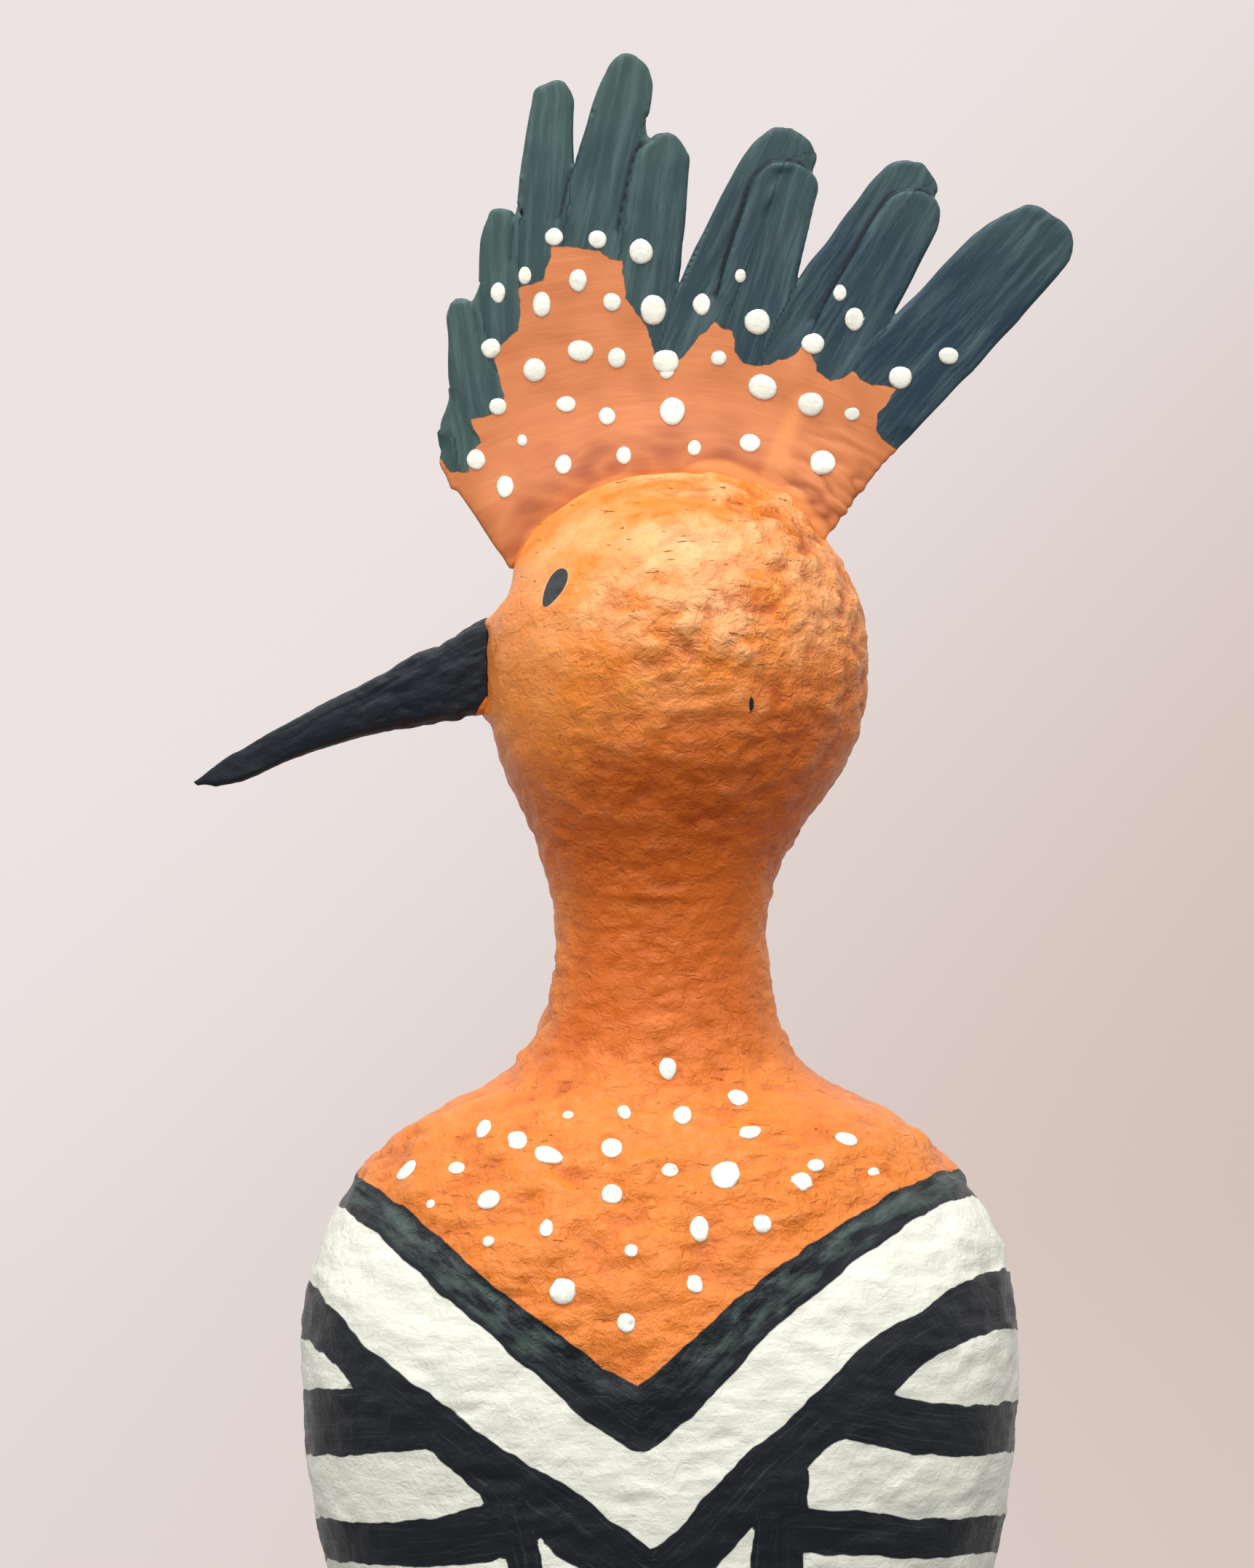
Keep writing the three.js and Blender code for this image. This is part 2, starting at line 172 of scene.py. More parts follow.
# Lower edge of the feathers' black, scalloped, from the brow to the nape in mm.
CLAY_EDGE = (
    (-45, 378.5), (-43, 376), (-39.3, 376), (-39, 380), (-37, 382), (-38.3, 385), (-39, 387), (-35.4, 388),
    (-32.7, 389.5), (-32.4, 391.5), (-33.3, 395.5), (-34.2, 399.5), (-33, 402), (-29.4, 405), (-29, 408.5),
    (-29.3, 414), (-27, 414.5), (-24, 415.7), (-22.8, 419.3), (-22.2, 422.6), (-20, 422.3), (-12.5, 421.5),
    (-10.7, 419.7), (-8, 419.4), (-7.8, 416.4), (-7, 411.5), (-5, 408.5), (-2.3, 405.3), (-2, 402),
    (-1, 399.2), (1.4, 398), (4.4, 399), (6, 401.4), (8, 404.3), (9.8, 405), (11.4, 406.7), (12.6, 405.3),
    (15, 405), (15.2, 401.4), (17, 398.4), (19.5, 397.7), (22.4, 398), (24, 399.2), (26, 399), (27.8, 400),
    (29.4, 402.5), (31.4, 400), (32, 396.8), (35, 394.4), (37.8, 395), (39.6, 396.5), (41, 395),
    (43.5, 393.5), (46, 393.8), (48.5, 393.2), (46.7, 390.3), (45, 388.4), (44.4, 385), (45.3, 382.7),
    (48.2, 381),
)

# Flaws of the pulp that the photograph shows: a crumb at the neck's root, a level wrinkle under the
# head with its groove, the dent of the brow and a lip above and below the beak.
# Place, reach each way and height, in mm.
BODY_FLAWS = (
    ((-27.6, 0, 255), (1.6, 2.4, 0.9), 1.3),
    ((-3, -24, 289.6), (9, 12, 0.9), 0.7),
    ((-3, -24, 287.6), (9, 12, 1.1), -0.5),
    ((-33, 0, 351.5), (7, 12, 4.5), -2.7),
    ((-35, 0, 344.8), (3, 8, 1.8), 1.4),
    ((-36, 0, 326), (3, 7, 1.8), 1.8),
)

# The pulp smoothed up against the card of the crest: half the card's width, how far the bed spreads
# beside it and its height in mm, and its turns round the head in degrees, from the brow to the nape.
CARD_BED = (3, 2.6, 1.7)
CARD_BED_TURNS = (-64, -46, 34, 52)

# The head is painted palest round this place, as painted highlight under the light from above: across and up,
# and how far, in mm.
CROWN_LIGHT = (6, 362)
CROWN_LIGHT_REACH = (36, 30)

# A dark nick on the cheek: across and up, and half its width and height, in mm.
NICK = (17.7, 327.4)
NICK_REACH = (0.55, 1.5)

# The painted eye's middle, across and up, its half width and half length in mm, and its lean from
# upright in degrees.
PAINTED_EYE = (-21.4, 350.8)
PAINTED_EYE_HALVES = (1.85, 4.3)
PAINTED_EYE_LEAN = 28

# The beak points this far down, in degrees, and is pressed flat beyond this share of its half width.
BEAK_DROP = 21
BEAK_FLATNESS = 0.5

# Bulges of the beak's wrapped paper: across and up, reach and height, all in mm.
BEAK_LOBES = (
    ((-50.5, 339.5), 1.8, 0.7), ((-42, 325.5), 2.2, 0.8), ((-86, 319), 4, -0.5), ((-97, 312), 1, 0.6),
)

# Dabs of paint that dried proud on the crest: place, reach, lean from upright and height, in mm.
CARD_FLAWS = (((22.5, 432.6), (0.8, 2.6), 25, 0.9), ((25.2, 438.6), (1.6, 0.7), 0, 0.8))

# Where the head's orange runs up on the crest: across, up and half width in mm.
ROOT_STREAK = ((22, 372, 2.6), (25.5, 383, 1.4), (29, 391, 0.5))

# Where the head's paint ends on the beak's root: up and across, in mm.
BEAK_SEAM = ((326.5, -38.3), (330.5, -35.5), (334, -34.5))

# A dot on a steep slope is drawn out this many times at most. Dots above the yoke's edge, in mm up,
# are laid at the back too.
LONGEST_DAB = 1.9
YOKE_EDGE = 222

# Raised dots: across, up, half width and half height in mm on the picture plane, and the turn in
# degrees of those that are turned.
CREST_DOTS = (
    (-22, 424.5, 1.9, 1.9), (-13, 424, 1.9, 1.9), (-4, 421.5, 2.5, 2.7), (-28, 416.5, 1.4, 1.9),
    (-17, 415.5, 1.9, 2.4), (-33.5, 413, 1.5, 2.2), (-24.5, 410.5, 1.9, 2.7), (-10, 411, 1.9, 1.9),
    (-1.5, 409.5, 2.7, 3.2), (8.5, 410.5, 1.9, 2.3), (16.5, 416.5, 1.1, 1.4), (20, 407, 2.7, 2.7),
    (36.9, 413, 1.5, 1.7), (40, 407.5, 2, 2.4), (-35, 401.5, 2.1, 2.1), (-16.5, 401, 2.7, 2.3),
    (-26, 397, 2.4, 2.5), (-9, 399.5, 1.9, 2.2), (1.1, 398.8, 2.9, 2.5), (1.3, 396.8, 1.6, 1.6),
    (12, 399.5, 1.6, 1.6), (31.5, 402.5, 2.4, 2.2), (21, 393.5, 3.1, 2.6, -20), (31, 390, 2.7, 2.5),
    (-33.5, 389.5, 1.8, 1.8), (-19.5, 390, 2, 1.7), (-11, 387.5, 1.8, 1.9), (2.5, 388.5, 2.7, 3),
    (39.5, 388, 1.6, 1.4), (-28.5, 382.5, 1, 1.2), (-38, 378.5, 1.9, 2.2), (-20, 377.5, 1.7, 2.1),
    (-7.5, 379.5, 1.5, 1.9), (7, 381, 1.4, 1.7), (18.5, 382, 2.2, 1.9), (33.5, 378, 2.7, 2.5),
    (-32, 373, 1.8, 2.4), (49.5, 395.5, 2.5, 2.4), (59.5, 400, 2.1, 1.8),
)
BIB_DOTS = (
    (1.5, 253, 1.9, 2.4), (-19, 243.5, 1.2, 0.8), (-7.5, 244, 1.4, 1.4), (4.5, 243.5, 2, 2),
    (-36.5, 240.5, 1.5, 1.5), (-29.5, 238, 2.2, 1.7, 35), (-23, 235, 2.2, 2, 20), (-10, 236.5, 2.3, 2),
    (-52.5, 232, 2.2, 1.3, 25), (-42, 232.5, 1.8, 1.3), (2, 232, 1.8, 1.5), (-47.5, 225, 0.9, 0.9),
    (-35.5, 226, 2.5, 2, 15), (-10, 227, 2.2, 2.2), (-23.5, 220, 1.4, 1.6), (-35.5, 217.5, 1.2, 1.3),
    (-6, 215.5, 1.4, 1.4), (-20, 207, 3, 2.8), (-7, 200.5, 2, 2), (16, 247, 2.2, 1.6, -30),
    (18.5, 240, 2.3, 1.4, 15), (38.5, 238.5, 2.5, 1.4, -15), (13.5, 231, 3.4, 2.7, 45), (32, 233, 1.8, 1.4),
    (29, 229.5, 2.1, 2.1), (44, 231.5, 1.2, 1.2), (8, 220, 2.1, 2.7), (21, 221, 2, 2),
    (7, 208.5, 1.8, 1.8),
)

# What every acrylic coat has in common, and the sockets that a node mixes colours by.
ACRYLIC_IOR = 1.49
COLOURS = {"out": 2, "data_type": "RGBA"}

# The backdrop: its first ring in metres, and how many faces it has round it and up its sweep. The
# lights look at a place in metres.
FLOOR_MIDDLE = 0.4
BACKDROP_SIDES = 72
SWEEP_STEPS = 12
LIGHTS_AIM = (0, 0, 0.3)


def linear(colour):
    """Turns an sRGB hex value into the linear red, green, blue and alpha that a shader takes."""
    channels = [((colour >> shift) & 255) / 255 for shift in (16, 8, 0)]
    return [c / 12.92 if c <= 0.04045 else ((c + 0.055) / 1.055) ** 2.4 for c in channels] + [1.0]


def number_setting(label, meaning, value, **more):
    return FloatProperty(name=label, description=meaning, default=value, min=0, **more)


def length_setting(label, meaning, millimetres):
    return number_setting(label, meaning, millimetres * MM, unit="LENGTH", precision=5)


def colour_setting(label, meaning, colour):
    return FloatVectorProperty(
        name=label, description=meaning, default=linear(colour), size=4, min=0, max=1, subtype="COLOR"
    )


class HoopoeSurface(PropertyGroup):
    """Relief of the pulp, the card and the rolled paper."""

    swell_height: length_setting("Swell height", "How far the broad unevenness of the form stands out", 0.8)
    lump_height: length_setting("Lump height", "How far the lumps of pulp stand out", 1.1)
    lump_size: length_setting("Lump size", "Width of one lump of pulp", 6.5)
    crease_depth: length_setting("Crease depth", "Depth of the level creases on the neck and chest", 0.3)
    grain_height: length_setting("Grain height", "Height of the finest grain that is modelled", 0.12)
    card_grain: length_setting("Card mesh size", "Size of one face of the crest", 0.55)
    beak_grain: length_setting("Beak mesh size", "Size of one face of the beak", 0.36)
    paint_coat: length_setting("Paint coat", "Thickness of the paint that closes the seams", 0.3)
    columns: IntProperty(name="Columns", description="Faces round the body", default=248, min=32)


class HoopoePaint(PropertyGroup):
    """Colours of the brushed acrylic."""

    orange: colour_setting("Orange", "Head, neck and bib", 0xE28029)
    # Painted highlight on the lumps and round the crown, and the paler coat on the eye's rim and the crest's
    # root.
    orange_pale_and_highlight: colour_setting("Light orange", "Tops of the lumps, where the coat is thin", 0xF7B57C)
    # Paint pooled in the hollows together with painted shade there, and painted shade in the crown's cracks.
    orange_pooled_and_shade: colour_setting("Deep orange", "Hollows, where the paint pools", 0xB04A18)
    # A deeper coat round the neck, together with painted shade under the head.
    orange_wash: colour_setting("Orange wash", "Deeper coat under the head and round the neck", 0xCC6416)
    orange_yellow: colour_setting("Yellow orange", "Smears of the first coat that show through", 0xF09C38)
    black: colour_setting("Black", "Bands and foot", 0x0E141C)
    # Also the grey-green painted highlight on the beak.
    black_dry_and_highlight: colour_setting("Dry black", "Grey-green drag marks of the dry brush", 0x43544F)
    slate: colour_setting("Slate", "Feathers, towards the nape", 0x1B3445)
    # Painted highlight on the feathers, towards the brow and the tips.
    slate_green: colour_setting("Green slate", "Feathers, towards the brow and the tips", 0x344F4C)
    slate_dry: colour_setting("Dry slate", "Grey-green drag marks on the feathers", 0x5D7875)
    white: colour_setting("White", "Ground between the bands", 0xE3E5D8)
    # Painted shade in the white's hollows, and the dull skin on the dots.
    white_grey_and_shade: colour_setting("White in hollows", "Ground where the white is thin", 0xBFC5B7)
    terracotta: colour_setting("Terracotta", "Lower part of the crest", 0xCD7A47)
    terracotta_light: colour_setting("Light terracotta", "Brushed streaks on the crest", 0xDB9057)
    # Painted shade in the crest's creases and near the head.
    terracotta_shade: colour_setting("Deep terracotta", "Creases on the crest", 0x9A4C28)
    beak: colour_setting("Beak black", "Rolled paper beak", 0x0A131D)
    eye: colour_setting("Eye grey", "Painted eye", 0x2C3236)
    dot: colour_setting("Dot white", "Raised dots", 0xE6E9DD)


class HoopoeDots(PropertyGroup):
    """Raised dots of thick paint."""

    thickness: length_setting("Thickness", "Height of a dot two millimetres across its half", 0.5)
    bedding: length_setting("Bedding", "How deep a dot's rim goes below the surface", 0.3)
    wobble: length_setting("Wobble", "How far a dot's outline strays from an ellipse", 0.3)


class HoopoeStage(PropertyGroup):
    """Floor, lights and camera."""

    floor_radius: length_setting("Floor radius", "Flat part of the floor", 1900)
    sweep_radius: length_setting("Sweep", "Curve from floor to wall", 1300)
    wall_height: length_setting("Wall height", "Top of the backdrop", 2600)
    key_power: number_setting("Key light", "Power of the key light", 42.0, unit="POWER")
    window_power: number_setting("Window light", "Power of the small light that glints", 7.0, unit="POWER")
    rear_power: number_setting("Rear light", "Power of the rear light", 6.0, unit="POWER")
    sky_above: number_setting("Sky above", "Strength of the even light overhead", 0.86)
    sky_behind: number_setting("Sky behind", "What the light from behind adds to it", 0.25)
    sky_below: number_setting("Sky below", "Strength of the even light from below", 0.22)
    paper: colour_setting("Paper", "Lit part of the backdrop", 0xECE3E2)
    floor: colour_setting("Floor paper", "Paper that the bird stands on", 0xB9AEAB)
    paper_shade: colour_setting("Paper shade", "Shaded part of the backdrop", 0xD3C1B8)


def ramp(value, start, end):
    """Goes smoothly from 0 to 1 as the value goes from start to end, up or down."""
    share = np.clip((value - start) / (end - start), 0, 1)
    return share * share * (3 - 2 * share)


def between(value, start, full, fading, end):
    """Goes smoothly up to 1, stays there, and goes down to 0 again."""
    return ramp(value, start, full) * ramp(value, end, fading)


def swells(points, size, seed, stretch=(1, 1, 1)):
    """Smooth noise from about -1 to 1 at points in mm. The size is how wide one swell is, in mm."""
    scaled = points / (np.array(stretch) * size) + 31.7 * seed
    return np.array([noise.noise(p) for p in scaled.tolist()])


def lumps(points, size, seed, stretch=(1, 1, 1)):
    """Round lumps parted by creases, from about -0.3 in the creases to 0.6 on the tops."""
    return np.abs(swells(points, size, seed, stretch)) * 1.4 - 0.3


def bulge(points, place, reach):
    """A round bulge: 1 at its place, and fading out over its reach."""
    return np.exp(-(((points - place) / reach) ** 2).sum(axis=1))


def picture_place(points):
    """Where points in mm land on the picture plane: across and up. The rear lands mirrored."""
    far = -EYE_POINT[1]
    share = far / (far - np.abs(points[:, 1]))
    return [EYE_POINT[axis] + (points[:, axis] - EYE_POINT[axis]) * share for axis in (0, 2)]


def brushed(across, up, strokes):
    """Distance outside the nearest stroke in mm, negative inside, and the way along and across it."""
    best = np.full(len(across), 1e6)
    grain = np.zeros((len(across), 3))
    for number, stroke in enumerate(strokes):
        run = 0
        for (x0, y0, half0), (x1, y1, half1) in zip(stroke, stroke[1:]):
            dx, dy = x1 - x0, y1 - y0
            length = math.hypot(dx, dy)
            along = ((across - x0) * dx + (up - y0) * dy) / length**2
            share = np.clip(along, 0, 1)
            gap = np.hypot(across - x0 - share * dx, up - y0 - share * dy) - (half0 + share * (half1 - half0))
            side = ((across - x0) * dy - (up - y0) * dx) / length
            nearer = gap < best
            best = np.where(nearer, gap, best)
            apart = np.full(len(across), number * STROKES_APART)
            here = np.stack([run + along * length, side, apart], axis=1)
            grain = np.where(nearer[:, None], here, grain)
            run += length
    return best, grain


def beyond_edge(across, up, edge):
    """Distance from an edge that runs from left to right, negative above it."""
    gap, _ = brushed(across, up, [[(x, y, 0) for x, y in edge]])
    far = 500
    outline = [(-far, edge[0][1]), *edge, (far, edge[-1][1]), (far, far * 2), (-far, far * 2)]
    above = np.zeros(len(across), bool)
    for (x0, y0), (x1, y1) in zip(outline, outline[1:] + outline[:1]):
        if y0 != y1:
            above ^= ((y0 > up) != (y1 > up)) & (across < x0 + (up - y0) * (x1 - x0) / (y1 - y0))
    return np.where(above, -gap, gap)


def read_vectors(mesh, field):
    values = np.zeros(len(mesh.vertices) * 3)
    mesh.vertices.foreach_get(field, values)
    return values.reshape(-1, 3)


def points_of(mesh):
    """The mesh's points, in mm."""
    return read_vectors(mesh, "co") / MM


def move_points(mesh, points):
    """Puts the mesh's points at places in mm."""
    mesh.vertices.foreach_set("co", (points * MM).ravel())
    mesh.update()


def push_out(mesh, heights):
    """Moves each point along its normal by its height, in mm."""
    move_points(mesh, points_of(mesh) + read_vectors(mesh, "normal") * heights[:, None])


def note(mesh, **kept):
    """Keeps a number, or a vector, for each point, for the paint to read."""
    for name, values in kept.items():
        kind, field = ("FLOAT", "value") if values.ndim == 1 else ("FLOAT_VECTOR", "vector")
        attribute = mesh.attributes.new(name, kind, "POINT")
        attribute.data.foreach_set(field, values.astype(np.float32).ravel())


def neighbours_mean(mesh):
    """A function that gives, for a value at each point, its mean over the point's neighbours."""
    ends = np.zeros(len(mesh.edges) * 2, int)
    mesh.edges.foreach_get("vertices", ends)
    start, end = np.concatenate([ends[0::2], ends[1::2]]), np.concatenate([ends[1::2], ends[0::2]])
    near = np.bincount(start)
    return lambda values: np.bincount(start, weights=values[end]) / near


def hollows(mesh, rounds):
    """How far each point lies below its neighbours in mm, evened out a few times."""
    mean = neighbours_mean(mesh)
    points, normals = points_of(mesh), read_vectors(mesh, "normal")
    sunk = sum((mean(points[:, axis]) - points[:, axis]) * normals[:, axis] for axis in range(3))
    for _ in range(rounds):
        sunk = (sunk + mean(sunk)) / 2
    return sunk


def even_out(mesh, share, rounds):
    """Levels the steps between layers of card, front and back, where the share is high."""
    mean = neighbours_mean(mesh)
    points = points_of(mesh)
    for _ in range(rounds):
        points[:, 1] += share * (mean(points[:, 1]) - points[:, 1])
    move_points(mesh, points)


def new_object(name, data):
    made = bpy.data.objects.new(name, data)
    bpy.context.scene.collection.objects.link(made)
    return made


def plain_mesh(obj, name):
    """The object's mesh with its modifiers applied. The object itself goes."""
    graph = bpy.context.evaluated_depsgraph_get()
    mesh = bpy.data.meshes.new_from_object(obj.evaluated_get(graph))
    mesh.name = name
    bpy.data.objects.remove(obj)
    return mesh


def even_skin(node_name, face_size, rounding):
    """The CAD node's shape as a fine even mesh with its corners rounded off."""
    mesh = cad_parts[node_name].data.copy()
    work = bmesh.new()
    work.from_mesh(mesh)
    bmesh.ops.remove_doubles(work, verts=work.verts, dist=0.001 * MM)
    work.to_mesh(mesh)
    work.free()
    obj = new_object("skin", mesh)
    remesh = obj.modifiers.new("remesh", "REMESH")
    remesh.mode = "VOXEL"
    remesh.voxel_size = face_size
    smooth = obj.modifiers.new("smooth", "SMOOTH")
    smooth.iterations = rounding
    return plain_mesh(obj, node_name + " skin")


def ring_faces(sides, rings):
    """Faces of a surface of rings of points, the first one closed by a middle point, number 0."""
    faces = []
    for c in range(sides):
        n = (c + 1) % sides
        faces.append((0, 1 + n, 1 + c))
        for low in range(1, 1 + (rings - 1) * sides, sides):
            faces.append((low + c, low + n, low + sides + n, low + sides + c))
    return faces


def make_piece(name, mesh, material):
    """A finished piece: its place is in its mesh, and it rides on the one body."""
    mesh.materials.clear()
    mesh.materials.append(material)
    mesh.shade_smooth()
    piece = new_object(name, mesh)
    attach(piece, "root")
    return piece


def soften(grid, times, wraps):
    """Averages each value with its neighbours along the first axis, so that facets fade."""
    for _ in range(times):
        before = np.roll(grid, 1, axis=0)
        after = np.roll(grid, -1, axis=0)
        if not wraps:
            before[0], after[-1] = grid[0], grid[-1]
        grid = (before + 2 * grid + after) / 4
    return grid


def body_rays(rise, turns):
    """Start and direction of rays from the body's axis. Above the head's middle, rise is an arc."""
    head_x, head_z = HEAD_CENTRE
    arc = max(rise - head_z, 0) / HEAD_RADIUS
    start = Vector((float(ramp(rise, *AXIS_BEND)) * head_x, 0, min(rise, head_z))) * MM
    for turn in turns:
        yield start, Vector((math.cos(turn) * math.cos(arc), math.sin(turn) * math.cos(arc), math.sin(arc)))


def body_reach(tree, rise, turns):
    return [tree.ray_cast(start, way)[3] for start, way in body_rays(rise, turns)]


def body_ring(rise, turns, lengths):
    return [start + way * length for (start, way), length in zip(body_rays(rise, turns), lengths)]


def body_skin(columns):
    """The body as rows of faces, close together on the head and chest and wider below."""
    source = bmesh.new()
    source.from_mesh(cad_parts["body"].data)
    tree = BVHTree.FromBMesh(source)
    source.free()
    quarter = np.arange(8) * math.pi / 4
    probes = np.linspace(0.5, HEAD_CENTRE[1] + HEAD_RADIUS * math.radians(88.8), 700)
    outline = np.array([body_ring(rise, quarter, body_reach(tree, rise, quarter)) for rise in probes])
    steps = np.linalg.norm(np.diff(outline, axis=0), axis=2).mean(axis=1) / MM
    travel = np.concatenate([[0], np.cumsum(steps / np.interp(probes[1:], ROW_HEIGHTS, ROW_SPACING))])
    rises = np.interp(np.linspace(0, travel[-1], int(travel[-1])), travel, probes)
    turns = np.arange(columns) * 2 * math.pi / columns
    reach = soften(np.array([body_reach(tree, rise, turns) for rise in rises]), ROW_ROUNDING, wraps=False)
    reach = soften(reach.T, FACET_ROUNDING, wraps=True).T
    rows = [body_ring(rise, turns, lengths) for rise, lengths in zip(rises, reach)]
    rim = [Vector((p.x, p.y, 0)) for p in rows[0]]
    rows = [[p * share for p in rim] for share in reversed(UNDERSIDE_RINGS)] + rows
    points = [Vector((0, 0, 0))] + [p for row in rows for p in row]
    points.append(Vector((HEAD_CENTRE[0] * MM, 0, rows[-1][0].z)))
    last = len(points) - 1
    top = last - columns
    faces = ring_faces(columns, len(rows))
    faces += [(last, top + c, top + (c + 1) % columns) for c in range(columns)]
    mesh = bpy.data.meshes.new("body skin")
    mesh.from_pydata(points, [], faces)
    mesh.update()
    return mesh


def body_relief(points, on_orange, sizes):
    """Height of the pulp's relief at points in mm, how much it swells or sinks, and how rough it is."""
    x, y, z = points.T
    head = ramp(z, 284, 304)
    face = head * ramp(x, -4, -26) * ramp(z, 296, 318)
    crown = head * ramp(x, -14, 14) * ramp(z, 316, 345)
    brow = ramp(z, 350, 362) * ramp(x, 30, 14)
    neck = between(z, 222, 240, 276, 296)
    bib = between(z, 178, 200, 232, 250) * (0.3 + 0.7 * on_orange)
    rough = 0.55 + 0.4 * head - 0.6 * face + 0.45 * crown - 0.45 * brow + 0.1 * neck + 0.3 * bib
    rough *= 0.85 + 0.5 * swells(points, 19, 6)
    drift = points + 1.8 * np.stack([swells(points, 8, seed) for seed in (41, 42, 43)], axis=1)
    size = sizes.lump_size / MM
    pulp = (
        0.45 * swells(drift, size * 1.3, 1)
        + 0.5 * swells(drift, size * 0.66, 2, (1.4, 1.4, 1))
        + 0.62 * swells(drift, size * 0.37, 3, (1.5, 1.5, 1))
        + 0.4 * lumps(drift, size * 0.7, 4, (1.5, 1.5, 1))
    )
    creases = np.minimum(lumps(drift, 2.6, 5, (4, 4, 1)), 0.2) * (0.3 + 1.3 * neck + 2.2 * bib)
    dents = bib * (1.1 * swells(drift, 9, 61) + 0.6 * lumps(drift, 7, 62, (1.5, 1.5, 1)))
    height = (
        sizes.swell_height * (0.8 * swells(points, 34, 7) + 0.6 * swells(points, 15, 8) + 1.9 * dents)
        + sizes.lump_height * rough * pulp
        + sizes.crease_depth * creases
        + sizes.grain_height * swells(points, 1.9, 9) * (0.4 + rough)
    ) / MM
    turn = np.degrees(np.arctan2(x - HEAD_CENTRE[0], z - HEAD_CENTRE[1]))
    half_card, spread, rise = CARD_BED
    beside = np.maximum(np.abs(y) - half_card, 0) / spread
    height += rise * between(turn, *CARD_BED_TURNS) * np.exp(-(beside**2))
    for place, reach, rise in BODY_FLAWS:
        height += rise * bulge(points, place, reach)
    relief = rough * pulp * (1 - 0.5 * bib) + 0.3 * creases + 0.4 * dents
    return height * ramp(z, 0, 3), relief, rough


def deep_wash(points, normals):
    """Deeper orange round the neck and under the head, partly a deeper coat and partly painted shade, less
    where the surface faces sideways, as painted light, and a little on the chest.
    """
    z = points[:, 2] + 7 * swells(points, 16, 51) + 3 * swells(points, 6, 52)
    top = 312 + 0.32 * (points[:, 0] - HEAD_CENTRE[0])
    share = between(z, 240, 268, top, top + 22) * (1 - 0.75 * ramp(np.abs(normals[:, 0]), 0.6, 1))
    return np.maximum(share, 0.28 * ramp(z, 252, 240))


def feather_strokes():
    """The brush's way down each feather, on the crest's own upright plane."""
    strokes = []
    for tip_x, tip_z, lean, width, length in FEATHERS:
        turn = math.radians(lean)
        tip = np.array(HEAD_CENTRE) + (tip_x, tip_z)
        end = tip - (length * math.sin(turn), length * math.cos(turn))
        strokes.append(((*tip, width / 2), (*end, width / 2)))
    return strokes


def feed(node, inputs):
    """Fills or links a node's inputs, by their names and numbers or in their order."""
    for key, value in inputs.items() if isinstance(inputs, dict) else enumerate(inputs):
        if isinstance(value, bpy.types.NodeSocket):
            node.id_data.links.new(value, node.inputs[key])
        else:
            node.inputs[key].default_value = value


def add_node(tree, kind, inputs=(), out=0, **settings):
    """Adds a node, sets it up, feeds it, and returns one of its outputs. A short kind is a shader node's."""
    made = tree.nodes.new(kind if "Node" in kind else "ShaderNode" + kind)
    for name, value in settings.items():
        setattr(made, name, value)
    feed(made, inputs)
    return made.outputs[out]


def per(size):
    """Texture scale for a pattern of a size in mm, on coordinates in metres."""
    return 1 / (size * MM)


def start_paint(name, constants):
    """A new material, its shader with the constants on its own sockets, and what adds nodes to it."""
    material = bpy.data.materials.new(name)
    material.use_nodes = True
    shader = material.node_tree.nodes["Principled BSDF"]
    feed(shader, constants)
    return material, shader, partial(add_node, material.node_tree)


